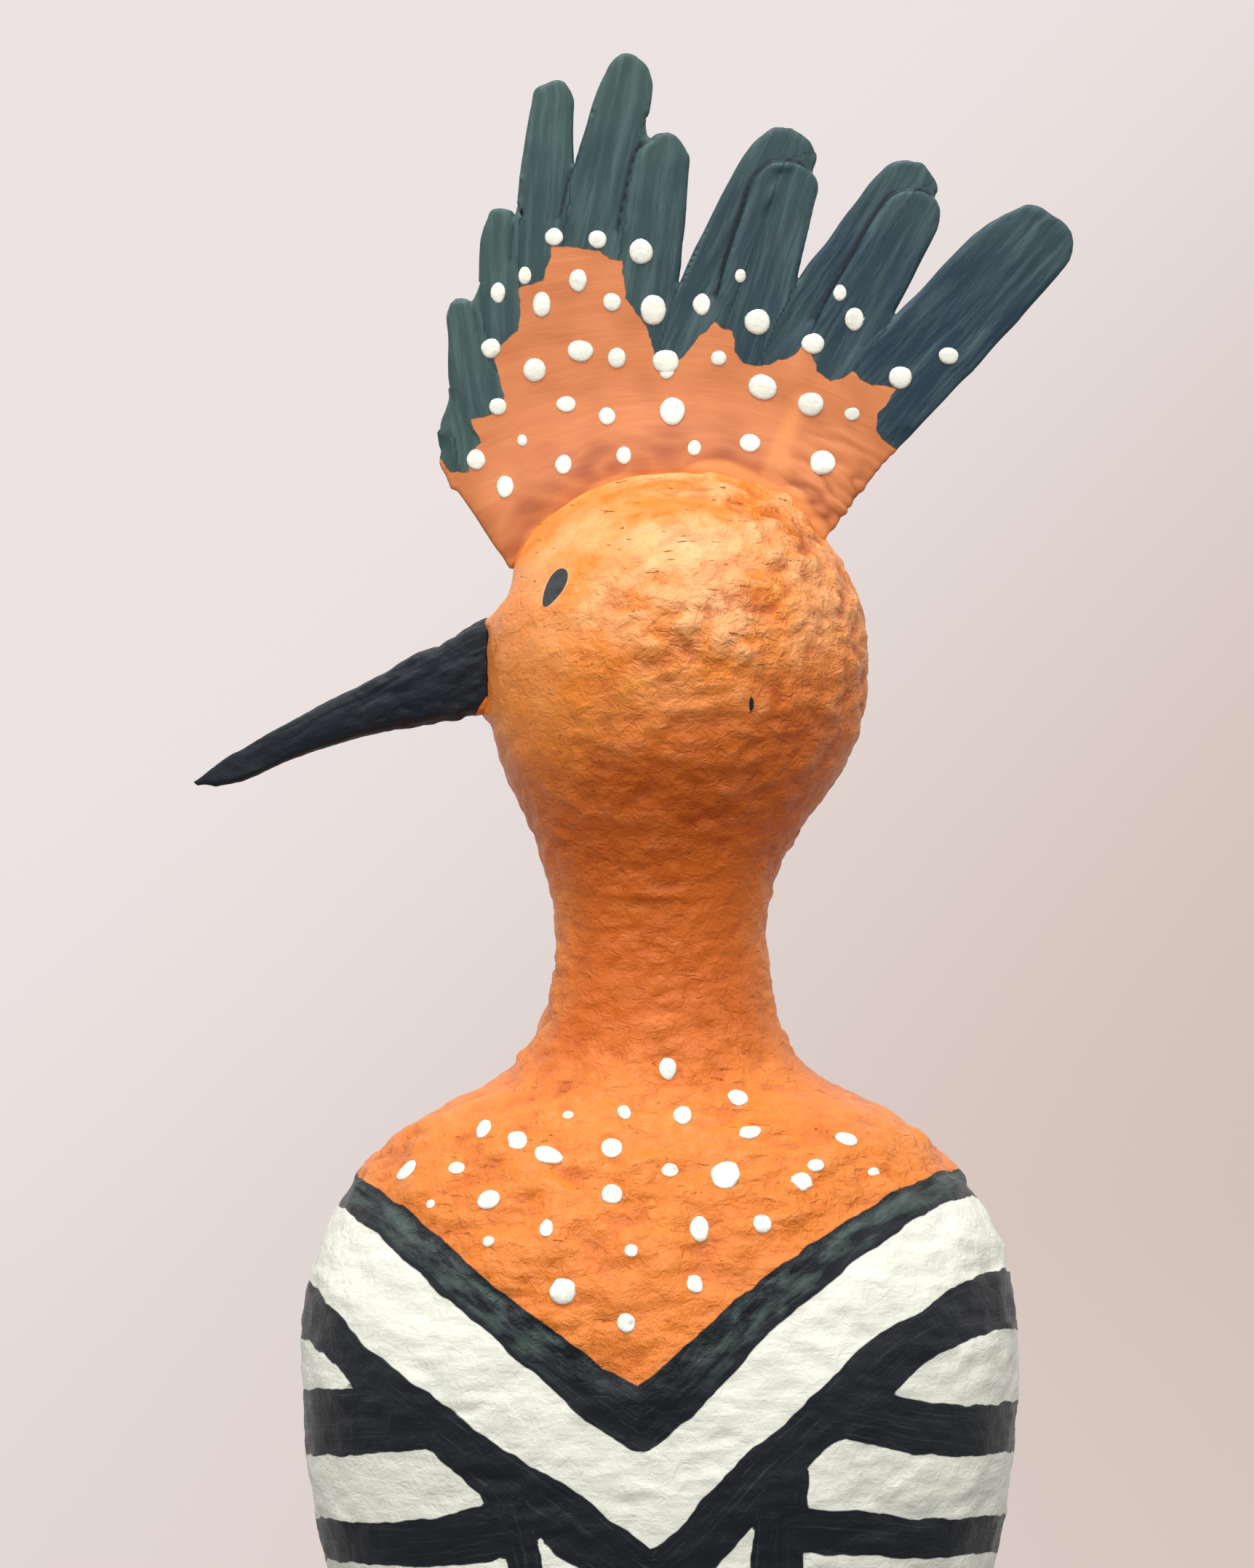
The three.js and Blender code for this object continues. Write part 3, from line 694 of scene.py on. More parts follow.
def pulp_paint(paint):
    """Brushed acrylic on paper pulp: a satin coat, thin and lighter on the lumps, partly as painted
    highlight, and pooled and darker in the creases, partly as painted shade.
    """
    material, shader, add = start_paint("brushed_acrylic_on_paper_pulp", {"IOR": ACRYLIC_IOR})
    place = add("TexCoord", out="Object")
    band, bib, relief, rough, wash, collar, pale, nick = (
        add("Attribute", attribute_name=name, out="Fac")
        for name in ("band", "bib", "relief", "rough", "wash", "collar", "pale", "nick")
    )
    strokes = add("Attribute", attribute_name="stroke", out="Vector")

    # A brush held by hand strays about half a millimetre from its line.
    stray = add("TexNoise", {"Vector": place, "Scale": per(8), "Detail": 2.0})
    stray = add("Math", (stray, -0.5), operation="ADD")
    strayed = add("Math", (stray, 2.4, band), operation="MULTIPLY_ADD")
    is_black = add("MapRange", (strayed, 0.14, -0.14))
    is_orange = add("MapRange", (bib, -0.14, 0.14))

    # Orange is mottled in patches of about 14 mm, with smears of the yellower first coat. It is redder in
    # hollows, partly pooled paint and partly painted shade, lighter round the crown as painted highlight,
    # and lighter on the lumps, partly a thinner coat and partly painted highlight.
    patches = add("TexNoise", {"Vector": place, "Scale": per(14), "Detail": 4.0, "Roughness": 0.62})
    patches = add("MapRange", (patches, 0.36, 0.72))
    crown_highlight = add("Math", (patches, pale), operation="MULTIPLY")
    smears = {"Vector": place, "Scale": per(9), "Detail": 2.0, "W": 3.0}
    smears = add("TexNoise", smears, noise_dimensions="4D")
    smears = add("MapRange", (smears, 0.58, 0.74, 0.0, 0.35))
    pooled_and_shaded = add("MapRange", (relief, -0.05, -0.65, 0.0, 0.65))
    lump_highlight = add("MapRange", (relief, 0.1, 0.7, 0.0, 0.7))
    lump_highlight = add("Math", (lump_highlight, pale), operation="MULTIPLY")

    # Level nicks and cracks of the dried pulp, 1 to 4 mm long and a fifth of a millimetre wide, painted
    # darker in the crown as painted shade, and the one dark nick on the cheek.
    nicks = add("VectorMath", (place, (per(4.5), per(4.5), per(0.8))), operation="MULTIPLY")
    nicks = add("TexNoise", {"Vector": nicks, "Scale": 1.0, "Detail": 3.0, "Distortion": 0.9})
    nicks = add("MapRange", (nicks, 0.32, 0.28))
    nicks = add("Math", (nicks, is_orange), operation="MULTIPLY")
    shaded_nicks = add("Math", (nicks, pale), operation="MULTIPLY")
    frayed = add("Math", (stray, 2.0, nick), operation="MULTIPLY_ADD")
    is_nick = add("MapRange", (frayed, 1.15, 0.85))

    # White is a little greyer in the hollows, as painted shade.
    white_shade = add("MapRange", (relief, 0.0, -0.6, 0.0, 0.6))

    # Black: the dry brush leaves grey-green drags 15 mm long and under 1 mm wide, and on the collar
    # dabs 7 mm long and 3 mm wide that keep off its edges.
    drags = add("VectorMath", (strokes, (1 / 15, 1 / 0.9, 1.0)), operation="MULTIPLY")
    drags = add("TexNoise", {"Vector": drags, "Scale": 1.0, "Detail": 4.0, "Roughness": 0.7})
    dry = add("MapRange", (drags, 0.54, 0.76, 0.0, 0.45))
    dabs = add("VectorMath", (strokes, (1 / 7, 1 / 3.2, 1.0)), operation="MULTIPLY")
    dabs = add("TexNoise", {"Vector": dabs, "Scale": 1.0, "Detail": 3.0, "Distortion": 0.4})
    dabs = add("Math", (drags, 0.4, dabs), operation="MULTIPLY_ADD")
    dabs = add("MapRange", (dabs, 0.62, 0.86, 0.0, 0.9))
    within = add("MapRange", (strayed, -0.5, -1.8))
    dabs = add("Math", (dabs, within), operation="MULTIPLY")
    dry = add("Mix", {0: collar, 2: dry, 3: dabs})

    orange = paint.orange
    for share, coat in (
        (crown_highlight, paint.orange_pale_and_highlight), (smears, paint.orange_yellow), (wash, paint.orange_wash),
        (pooled_and_shaded, paint.orange_pooled_and_shade), (lump_highlight, paint.orange_pale_and_highlight), (shaded_nicks, paint.orange_pooled_and_shade),
        (is_nick, paint.black),
    ):
        orange = add("Mix", {0: share, 6: orange, 7: coat}, **COLOURS)
    white = add("Mix", {0: white_shade, 6: paint.white, 7: paint.white_grey_and_shade}, **COLOURS)
    black = add("Mix", {0: dry, 6: paint.black, 7: paint.black_dry_and_highlight}, **COLOURS)
    colour = add("Mix", {0: is_orange, 6: white, 7: orange}, **COLOURS)
    colour = add("Mix", {0: is_black, 6: colour, 7: black}, **COLOURS)

    # The painted eye: a drop, blunt end up and towards the nape, on both cheeks, with a thin pale rim.
    turned = add("Mapping", {"Vector": place, "Location": (-PAINTED_EYE[0] * MM, 0, -PAINTED_EYE[1] * MM)})
    lean = math.radians(-PAINTED_EYE_LEAN)
    turned = add("VectorRotate", {"Vector": turned, "Axis": (0, 1, 0), "Angle": lean})
    off, rise = (add("SeparateXYZ", (turned,), out=axis) for axis in (0, 2))
    rise = add("Math", (rise, per(PAINTED_EYE_HALVES[1])), operation="MULTIPLY")
    half = add("Math", (rise, rise), operation="MULTIPLY")
    half = add("Math", (1.0, half), operation="SUBTRACT")
    half = add("Math", (half, 0.0), operation="MAXIMUM")
    half = add("Math", (half,), operation="SQRT")
    taper = add("Math", (rise, 0.24, 0.95), operation="MULTIPLY_ADD")
    half = add("Math", (half, taper), operation="MULTIPLY")
    half = add("Math", (half, PAINTED_EYE_HALVES[0] * MM), operation="MULTIPLY")
    off = add("Math", (off,), operation="ABSOLUTE")
    gap = add("Math", (off, half), operation="SUBTRACT")
    has_width = add("Math", (half, 0.02 * MM), operation="GREATER_THAN")
    for outer, inner, strength, coat in ((0.32, 0.2, 0.5, paint.orange_pale_and_highlight), (0.07, -0.07, 1.0, paint.eye)):
        share = add("MapRange", (gap, outer * MM, inner * MM, 0.0, strength))
        share = add("Math", (share, has_width), operation="MULTIPLY")
        colour = add("Mix", {0: share, 6: colour, 7: coat}, **COLOURS)

    sheen = add("MapRange", {0: patches, 3: 0.31, 4: 0.46})
    gloss = add("MapRange", (drags, 0.3, 0.7, 0.26, 0.42))
    roughness = add("Mix", {0: is_black, 2: sheen, 3: gloss})

    # Bristle marks 5 mm long lie level on the ground, and along the stroke on the bands. The grit of
    # the pulp is 2.4 mm across.
    bristles = add("VectorMath", (place, (per(5), per(5), per(0.9))), operation="MULTIPLY")
    bristles = add("TexNoise", {"Vector": bristles, "Scale": 1.0, "Detail": 2.0})
    bristles = add("Mix", {0: is_black, 2: bristles, 3: drags})
    grit = {"Vector": place, "Scale": per(2.4), "Detail": 5.0, "Roughness": 0.58, "Distortion": 0.6}
    grit = add("Math", (add("TexNoise", grit), rough), operation="MULTIPLY")
    normal = add("Bump", {"Height": bristles, "Distance": 0.1 * MM})
    normal = add("Bump", {"Height": grit, "Distance": 1.0 * MM, "Normal": normal})
    normal = add("Bump", {"Height": nicks, "Distance": 0.3 * MM, "Normal": normal}, invert=True)
    feed(shader, {"Base Color": colour, "Roughness": roughness, "Normal": normal})
    return material


def card_paint(paint):
    """Brushed acrylic on card: satin, with the bristle marks running down each feather."""
    material, shader, add = start_paint("brushed_acrylic_on_card", {"IOR": ACRYLIC_IOR})
    place = add("TexCoord", out="Object")
    black_gap, relief, root, green, lap = (
        add("Attribute", attribute_name=name, out="Fac")
        for name in ("band", "relief", "root", "green", "lap")
    )
    feather, fan = (add("Attribute", attribute_name=name, out="Vector") for name in ("stroke", "fan"))

    stray = add("TexNoise", {"Vector": place, "Scale": per(3), "Detail": 2.0})
    stray = add("Math", (stray, -0.5), operation="ADD")
    strayed = add("Math", (stray, 1.4, black_gap), operation="MULTIPLY_ADD")
    is_black = add("MapRange", (strayed, 0.12, -0.12))

    # Drags of the brush, 26 mm long and 2.4 mm wide down the feathers, and level sweeps round the fan
    # on the terracotta, 18 mm long and 2.2 mm wide, each with finer hairs in it.
    down = add("VectorMath", (feather, (1 / 26, 1 / 2.4, 1.0)), operation="MULTIPLY")
    down = add("TexNoise", {"Vector": down, "Scale": 1.0, "Detail": 5.0, "Roughness": 0.72})
    sweeps = add("VectorMath", (fan, (1 / 18, 1 / 2.2, 1.0)), operation="MULTIPLY")
    sweeps = {"Vector": sweeps, "Scale": 1.0, "Detail": 4.0, "Roughness": 0.66, "Distortion": 0.5}
    sweeps = add("TexNoise", sweeps)

    # The feathers are lighter and greener towards the brow and the tips, as painted highlight, bluer towards
    # the nape and the roots, and black in the laps, as painted shade. The head's coat runs up on the root of
    # the terracotta.
    dry = add("MapRange", (down, 0.46, 0.8, 0.0, 0.7))
    lap_shade = add("MapRange", (lap, 0.15, 0.8, 0.0, 0.95))
    light = add("MapRange", (sweeps, 0.45, 0.8, 0.0, 0.45))
    # Painted shade in the creases and near the head.
    clay_shade = add("MapRange", (relief, 0.0, -0.6, 0.0, 0.8))
    head_coat = add("Mix", {0: 0.4, 6: paint.orange, 7: paint.orange_pale_and_highlight}, **COLOURS)
    black, clay = paint.slate, paint.terracotta
    for share, coat in ((green, paint.slate_green), (dry, paint.slate_dry), (lap_shade, paint.black)):
        black = add("Mix", {0: share, 6: black, 7: coat}, **COLOURS)
    for share, coat in ((light, paint.terracotta_light), (clay_shade, paint.terracotta_shade), (root, head_coat)):
        clay = add("Mix", {0: share, 6: clay, 7: coat}, **COLOURS)
    colour = add("Mix", {0: is_black, 6: clay, 7: black}, **COLOURS)

    gloss = add("MapRange", (down, 0.3, 0.7, 0.4, 0.52))
    dull = add("MapRange", (sweeps, 0.3, 0.7, 0.48, 0.6))
    roughness = add("Mix", {0: is_black, 2: dull, 3: gloss})
    hairs = add("Mix", {0: is_black, 2: sweeps, 3: down})
    depth = add("MapRange", {0: is_black, 3: 0.12 * MM, 4: 0.22 * MM})
    hairs = add("Math", (hairs, depth), operation="MULTIPLY")
    normal = add("Bump", {"Height": hairs, "Distance": 1.0})
    feed(shader, {"Base Color": colour, "Roughness": roughness, "Normal": normal})
    return material


def beak_paint(paint):
    """Black acrylic on rolled paper: satin, dragged along the beak, with the paper's wrinkles under it."""
    material, shader, add = start_paint("brushed_acrylic_on_rolled_paper", {"IOR": ACRYLIC_IOR})
    place = add("TexCoord", out="Object")
    relief, skin = (add("Attribute", attribute_name=name, out="Fac") for name in ("relief", "skin"))
    length = add("Attribute", attribute_name="stroke", out="Vector")

    # Drags 12 mm long and under 1 mm wide, grey-green painted highlight in patches, most on the top facet,
    # the root and the knobs, and the head's orange at the root.
    drags = add("VectorMath", (length, (1 / 12, 1 / 0.8, 1.0)), operation="MULTIPLY")
    drags = add("TexNoise", {"Vector": drags, "Scale": 1.0, "Detail": 4.0, "Roughness": 0.66})
    dry = add("MapRange", (drags, 0.56, 0.8, 0.0, 0.3))
    beak_highlight = add("TexNoise", {"Vector": length, "Scale": 0.3, "Detail": 3.0, "Roughness": 0.6})
    beak_highlight = add("Math", (beak_highlight, relief), operation="MULTIPLY")
    beak_highlight = add("MapRange", (beak_highlight, 0.36, 0.66, 0.0, 0.6))
    is_skin = add("MapRange", (skin, -0.12, 0.12))
    colour = paint.beak
    for share, coat in ((dry, paint.black_dry_and_highlight), (beak_highlight, paint.black_dry_and_highlight), (is_skin, paint.orange)):
        colour = add("Mix", {0: share, 6: colour, 7: coat}, **COLOURS)
    gloss = add("MapRange", (drags, 0.3, 0.7, 0.42, 0.55))
    grit = add("TexNoise", {"Vector": place, "Scale": per(1.6), "Detail": 2.0})
    normal = add("Bump", {"Height": grit, "Distance": 0.15 * MM})
    normal = add("Bump", {"Height": drags, "Distance": 0.12 * MM, "Normal": normal})
    feed(shader, {"Base Color": colour, "Roughness": gloss, "Normal": normal})
    return material


def dot_paint(paint):
    """Thick white acrylic laid on with a round tool: smooth and satin, with a faint skin on top."""
    material, shader, add = start_paint("thick_white_acrylic", {"IOR": ACRYLIC_IOR, "Roughness": 0.4})
    place = add("TexCoord", out="Object")
    skin = add("TexNoise", {"Vector": place, "Scale": per(1.4), "Detail": 3.0})
    dull = add("MapRange", (skin, 0.6, 0.72, 0.0, 0.5))
    colour = add("Mix", {0: dull, 6: paint.dot, 7: paint.white_grey_and_shade}, **COLOURS)
    puckered = add("Bump", {"Height": skin, "Distance": 0.2 * MM})
    feed(shader, {"Base Color": colour, "Normal": puckered})
    return material


def dab_nodes():
    """Geometry nodes that lay a flattened dab of paint at each place and press it on a surface."""
    tree = bpy.data.node_groups.new("raised paint dabs", "GeometryNodeTree")
    add = partial(add_node, tree)
    sockets = {}
    for name, kind in (
        ("Places", "Geometry"), ("Surface", "Object"), ("Thickness", "Float"),
        ("Bedding", "Float"), ("Wobble", "Float"), ("Paint", "Material"),
    ):
        sockets[name] = tree.interface.new_socket(name, in_out="INPUT", socket_type="NodeSocket" + kind)
    tree.interface.new_socket("Dabs", in_out="OUTPUT", socket_type="NodeSocketGeometry")
    given = tree.nodes.new("NodeGroupInput").outputs

    # One dab: a ball whose points remember their height, and are then pressed flat.
    ball = add("GeometryNodeMeshUVSphere", {"Segments": 16, "Rings": 8, "Radius": 1.0})
    place = add("GeometryNodeInputPosition")
    rise = {"Geometry": ball, "Name": "rise", "Value": add("SeparateXYZ", (place,), out=2)}
    ball = add("GeometryNodeStoreNamedAttribute", rise, data_type="FLOAT")
    flat = add("VectorMath", (place, (1, 1, 0)), operation="MULTIPLY")
    ball = add("GeometryNodeSetPosition", {"Geometry": ball, "Position": flat})
    turn, reach = (
        add("GeometryNodeInputNamedAttribute", {"Name": name}, data_type="FLOAT_VECTOR")
        for name in ("turn", "reach")
    )
    turn = add("FunctionNodeEulerToRotation", (turn,))
    dabs = {"Points": given["Places"], "Instance": ball, "Rotation": turn, "Scale": reach}
    dabs = add("GeometryNodeInstanceOnPoints", dabs)
    dabs = add("GeometryNodeRealizeInstances", {"Geometry": dabs})

    # The outline strays, as a hand-laid dot's does.
    stray = add("TexNoise", {"Vector": place, "Scale": per(3.2), "Detail": 1.0}, out="Color")
    stray = add("VectorMath", (stray, (-0.5, -0.5, -0.5)), operation="ADD")
    for times in (given["Wobble"], 2.0):
        stray = add("VectorMath", {0: stray, "Scale": times}, operation="SCALE")
    dabs = add("GeometryNodeSetPosition", {"Geometry": dabs, "Offset": stray})

    # Pressed on: each point goes to the nearest place on the surface, and up from it by its rise.
    surface = add("GeometryNodeObjectInfo", {"Object": given["Surface"]}, out="Geometry")
    landed = add("GeometryNodeProximity", {"Geometry": surface}, target_element="FACES")
    outward = {"Mesh": surface, "Value": add("GeometryNodeInputNormal")}
    outward = add("GeometryNodeSampleNearestSurface", outward, data_type="FLOAT_VECTOR")
    rise, depth = (
        add("GeometryNodeInputNamedAttribute", {"Name": name}, data_type="FLOAT")
        for name in ("rise", "depth")
    )
    above = add("Math", (rise, 0.0), operation="MAXIMUM")
    above = add("Math", (above, 0.62), operation="POWER")
    for times in (depth, given["Thickness"]):
        above = add("Math", (above, times), operation="MULTIPLY")
    below = add("Math", (rise, 0.0), operation="MINIMUM")
    height = add("Math", (below, given["Bedding"], above), operation="MULTIPLY_ADD")
    lift = add("VectorMath", {0: outward, "Scale": height}, operation="SCALE")
    spot = add("VectorMath", (landed, lift), operation="ADD")
    dabs = add("GeometryNodeSetPosition", {"Geometry": dabs, "Position": spot})
    dabs = add("GeometryNodeSetMaterial", {"Geometry": dabs, "Material": given["Paint"]})
    feed(tree.nodes.new("NodeGroupOutput"), {"Dabs": dabs})
    return tree, sockets


def dab_places(surface, rows_by_side):
    """A point for each dot on the surface that the eye sees it on, with its turn, reach and depth."""
    tree = BVHTree.FromObject(surface, bpy.context.evaluated_depsgraph_get())
    places, turns, reaches, depths = [], [], [], []
    for side, rows in rows_by_side:
        eye = Vector((EYE_POINT[0], side * EYE_POINT[1], EYE_POINT[2])) * MM
        for across, up, half_width, half_height, *tilt in rows:
            aim = Vector((across, 0, up)) * MM - eye
            sight = aim.normalized()
            spot, outward, _, _ = tree.ray_cast(eye, sight)
            if spot is None:
                raise RuntimeError(f"the dot at {across}, {up} misses {surface.name}")
            angle = math.radians(tilt[0] if tilt else 0)
            cos, sin = math.cos(angle), math.sin(angle)
            level, upright = (
                axis - sight * axis.dot(outward) / sight.dot(outward)
                for axis in (Vector((cos, 0, sin)), Vector((-sin, 0, cos)))
            )
            nearer = (spot - eye).length / aim.length
            basis = (level.normalized(), outward.cross(level).normalized(), outward)
            scale = nearer * MM
            reach = [
                half * min(axis.length, LONGEST_DAB) * scale
                for half, axis in ((half_width, level), (half_height, upright))
            ]
            places.append(spot)
            turns.append(Matrix(basis).transposed().to_euler())
            reaches.append((*reach, MM))
            depths.append(min(half_width, half_height) / 2)
    mesh = bpy.data.meshes.new("dab places")
    mesh.from_pydata(places, [], [])
    note(mesh, turn=np.array(turns), reach=np.array(reaches), depth=np.array(depths))
    return mesh


def dots_mesh(name, surface, rows_by_side, tree, inputs):
    """The mesh of the raised dots on a finished surface."""
    carrier = new_object("carrier", dab_places(surface, rows_by_side))
    modifier = carrier.modifiers.new("dabs", "NODES")
    modifier.node_group = tree
    for identifier, value in inputs.items():
        modifier[identifier] = value
    mesh = plain_mesh(carrier, name)
    if len(mesh.polygons) == 0:
        raise RuntimeError(f"{name} came out empty")
    return mesh


def backdrop_paper(settings):
    """Matt pale paper. Away from the bird it glows by itself, so that floor and wall are one tone."""
    material, shader, add = start_paint("matt_pale_paper", {"Roughness": 0.9, "Base Color": settings.floor})
    place = add("TexCoord", out="Object")
    away = add("VectorMath", (place, (1, 1, 0)), operation="MULTIPLY")
    away = add("VectorMath", (away,), out="Value", operation="LENGTH")
    away = add("MapRange", (away, 0.3, 0.72), interpolation_type="SMOOTHSTEP")
    # The glow is painted shade, darker towards the lower right.
    wall_shade = add("VectorMath", (place, (1, 0, -1)), out="Value", operation="DOT_PRODUCT")
    wall_shade = add("MapRange", (wall_shade, -0.85, 0.6), interpolation_type="SMOOTHSTEP")
    tone = add("Mix", {0: wall_shade, 6: settings.paper, 7: settings.paper_shade}, **COLOURS)
    glow = add("Emission", {"Color": tone})
    mixed = add("MixShader", (away, shader.outputs[0], glow))
    feed(material.node_tree.nodes["Material Output"], {"Surface": mixed})
    return material


def overhead_sky(settings):
    """Even light, strong from above and weak from below, with a little more from behind the bird."""
    world = bpy.data.worlds.new("overhead studio light")
    world.use_nodes = True
    add = partial(add_node, world.node_tree)
    way = add("TexCoord", out="Generated")
    behind, height = (add("SeparateXYZ", (way,), out=axis) for axis in (1, 2))
    strength = {0: height, 1: -0.55, 2: 0.95, 3: settings.sky_below, 4: settings.sky_above}
    strength = add("MapRange", strength, interpolation_type="SMOOTHSTEP")
    behind = add("MapRange", (behind, 0.0, 1.0, 0.0, settings.sky_behind))
    strength = add("Math", (strength, behind), operation="ADD")
    feed(world.node_tree.nodes["Background"], {"Color": linear(0xFFFAF7), "Strength": strength})
    return world


class HOOPOE_OT_body(Operator):
    """Builds the body's lumpy pulp and its painted bib, bands and eye"""

    bl_idname = "hoopoe.body"
    bl_label = "Body"

    def execute(self, context):
        sizes = context.scene.hoopoe_surface
        mesh = body_skin(sizes.columns)
        before = points_of(mesh)
        x, y, z = before.T
        across, up = picture_place(before)
        behind = ramp(y, -9, 9)
        front_edge, rear_edge = (
            np.interp(across, *np.array(collar)[:, :2].T) for collar in (COLLAR, REAR_COLLAR)
        )
        over_collar = up - (front_edge * (1 - behind) + rear_edge * behind)
        on_orange = ramp(over_collar, -4, 2)
        height, relief, rough = body_relief(before, on_orange, sizes)
        # The deeper orange round the neck is partly painted shade under the head.
        wash = deep_wash(before, read_vectors(mesh, "normal"))
        push_out(mesh, height)
        points = points_of(mesh)
        points[:, 2] = np.where(z < 0.01, 0, np.maximum(points[:, 2], 0))
        move_points(mesh, points)

        front, front_grain = brushed(across, up, FRONT_BANDS)
        rear, rear_grain = brushed(across, up, REAR_BANDS)
        grain = np.where(behind[:, None] > 0.5, rear_grain, front_grain)
        nick = np.hypot((x - NICK[0]) / NICK_REACH[0], (z - NICK[1]) / NICK_REACH[1])
        note(
            mesh,
            band=np.minimum(front * (1 - behind) + rear * behind, z - FOOT_HEIGHT),
            stroke=grain,
            bib=over_collar,
            relief=relief,
            rough=(rough + 0.25) * (0.5 + 0.5 * on_orange),
            wash=wash,
            # The crown is painted lighter, as painted highlight.
            pale=0.1 + 1.2 * bulge(before[:, [0, 2]], CROWN_LIGHT, CROWN_LIGHT_REACH),
            nick=nick + 9 * (y > 0),
            collar=(grain[:, 2] == 0) * ramp(z, 190, 204),
        )
        body = make_piece("painted_body", mesh, pulp_paint(context.scene.hoopoe_paint))
        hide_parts("body")
        return {"FINISHED"}


class HOOPOE_OT_crest(Operator):
    """Builds the crest of layered card with its brushed feathers"""

    bl_idname = "hoopoe.crest"
    bl_label = "Crest"

    def execute(self, context):
        sizes = context.scene.hoopoe_surface
        mesh = even_skin("crest", sizes.card_grain, 3)
        points = points_of(mesh)
        x, _, z = points.T
        fan_x, fan_z = x - FAN_POINT[0], z - FAN_POINT[1]
        turn, radius = np.arctan2(fan_x, fan_z), np.hypot(fan_x, fan_z)
        beyond_head = np.hypot(x - HEAD_CENTRE[0], z - HEAD_CENTRE[1]) - HEAD_RADIUS
        black = beyond_edge(x, z, CLAY_EDGE)
        _, grain = brushed(x, z, feather_strokes())
        fan = np.stack([turn * FAN_REACH, radius, 0 * turn], axis=1)
        on_clay = ramp(black, -0.5, 2)
        even_out(mesh, ramp(black, -6, -1), 90)

        # The terracotta is wrinkled at the nape, and the feathers' ends are fluffed.
        nape = ramp(turn, math.radians(20), math.radians(34)) * ramp(radius, 92, 70)
        wrinkles = lumps(fan, 2.4, 11, (3.4, 1, 1)) * nape
        pillow = swells(points, 7, 12)
        tip = ramp(grain[:, 0], 7, 0)
        level, upright = (
            (0.3 + 0.9 * tip) * swells(points, 7, seed) + 0.6 * tip * swells(points, 3, seed)
            for seed in (15, 16)
        )
        away = np.stack([level, 0 * turn, upright], axis=1) * ramp(radius, 60, 75)[:, None]
        points = points_of(mesh) + away
        x, y, z = points.T
        move_points(mesh, points)
        bristles = 0.17 * swells(grain, 3.2, 14, (7, 1, 1)) + 0.07 * swells(grain, 1.4, 19, (9, 1, 1))
        height = (
            sizes.paint_coat / MM
            + 0.16 * pillow
            + on_clay * 0.06 * swells(fan, 3, 13, (5, 1, 1))
            + (1 - on_clay) * bristles
            + 0.7 * wrinkles
            + 0.3 * np.clip(1 - beyond_head / ROOT_FILLET, 0, 1) ** 2
        )

        # The proud dabs lie on the front only, and turned.
        for place, reach, lean, rise in CARD_FLAWS:
            dx, dz = x - place[0], z - place[1]
            cos, sin = math.cos(math.radians(lean)), math.sin(math.radians(lean))
            turned = np.stack([dx * cos - dz * sin, dx * sin + dz * cos], axis=1)
            height += np.where(y < 0, rise * bulge(turned, 0, reach), 0)

        lap = hollows(mesh, 2) / LAP_DEPTH
        push_out(mesh, height)
        # Near the head the terracotta is painted darker, as painted shade.
        low = ramp(beyond_head, 15, 3) * (0.35 + 0.5 * lumps(fan, 4, 20, (2.5, 1, 1)))
        streak, _ = brushed(x, z, (ROOT_STREAK,))
        climbs = beyond_head + 1.8 * pillow + swells(fan, 2.5, 25, (3, 1, 1)) - 2.4 * ramp(x, 2, 16)
        note(
            mesh,
            band=black,
            stroke=grain,
            fan=fan,
            relief=0.3 * pillow + 1.5 * wrinkles - 0.8 * low,
            lap=lap,
            # Painted highlight: lighter and greener towards the brow and the feathers' tips.
            green=0.65 * ramp(x, 60, -30) + 0.5 * ramp(grain[:, 0], 26, 0) + 0.22 * swells(points, 12, 26),
            root=np.maximum(0.85 * ramp(climbs, 0.8, -0.8), 0.5 * ramp(streak + pillow, 2, -1)),
        )
        crest = make_piece("painted_crest", mesh, card_paint(context.scene.hoopoe_paint))
        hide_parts("crest")
        return {"FINISHED"}


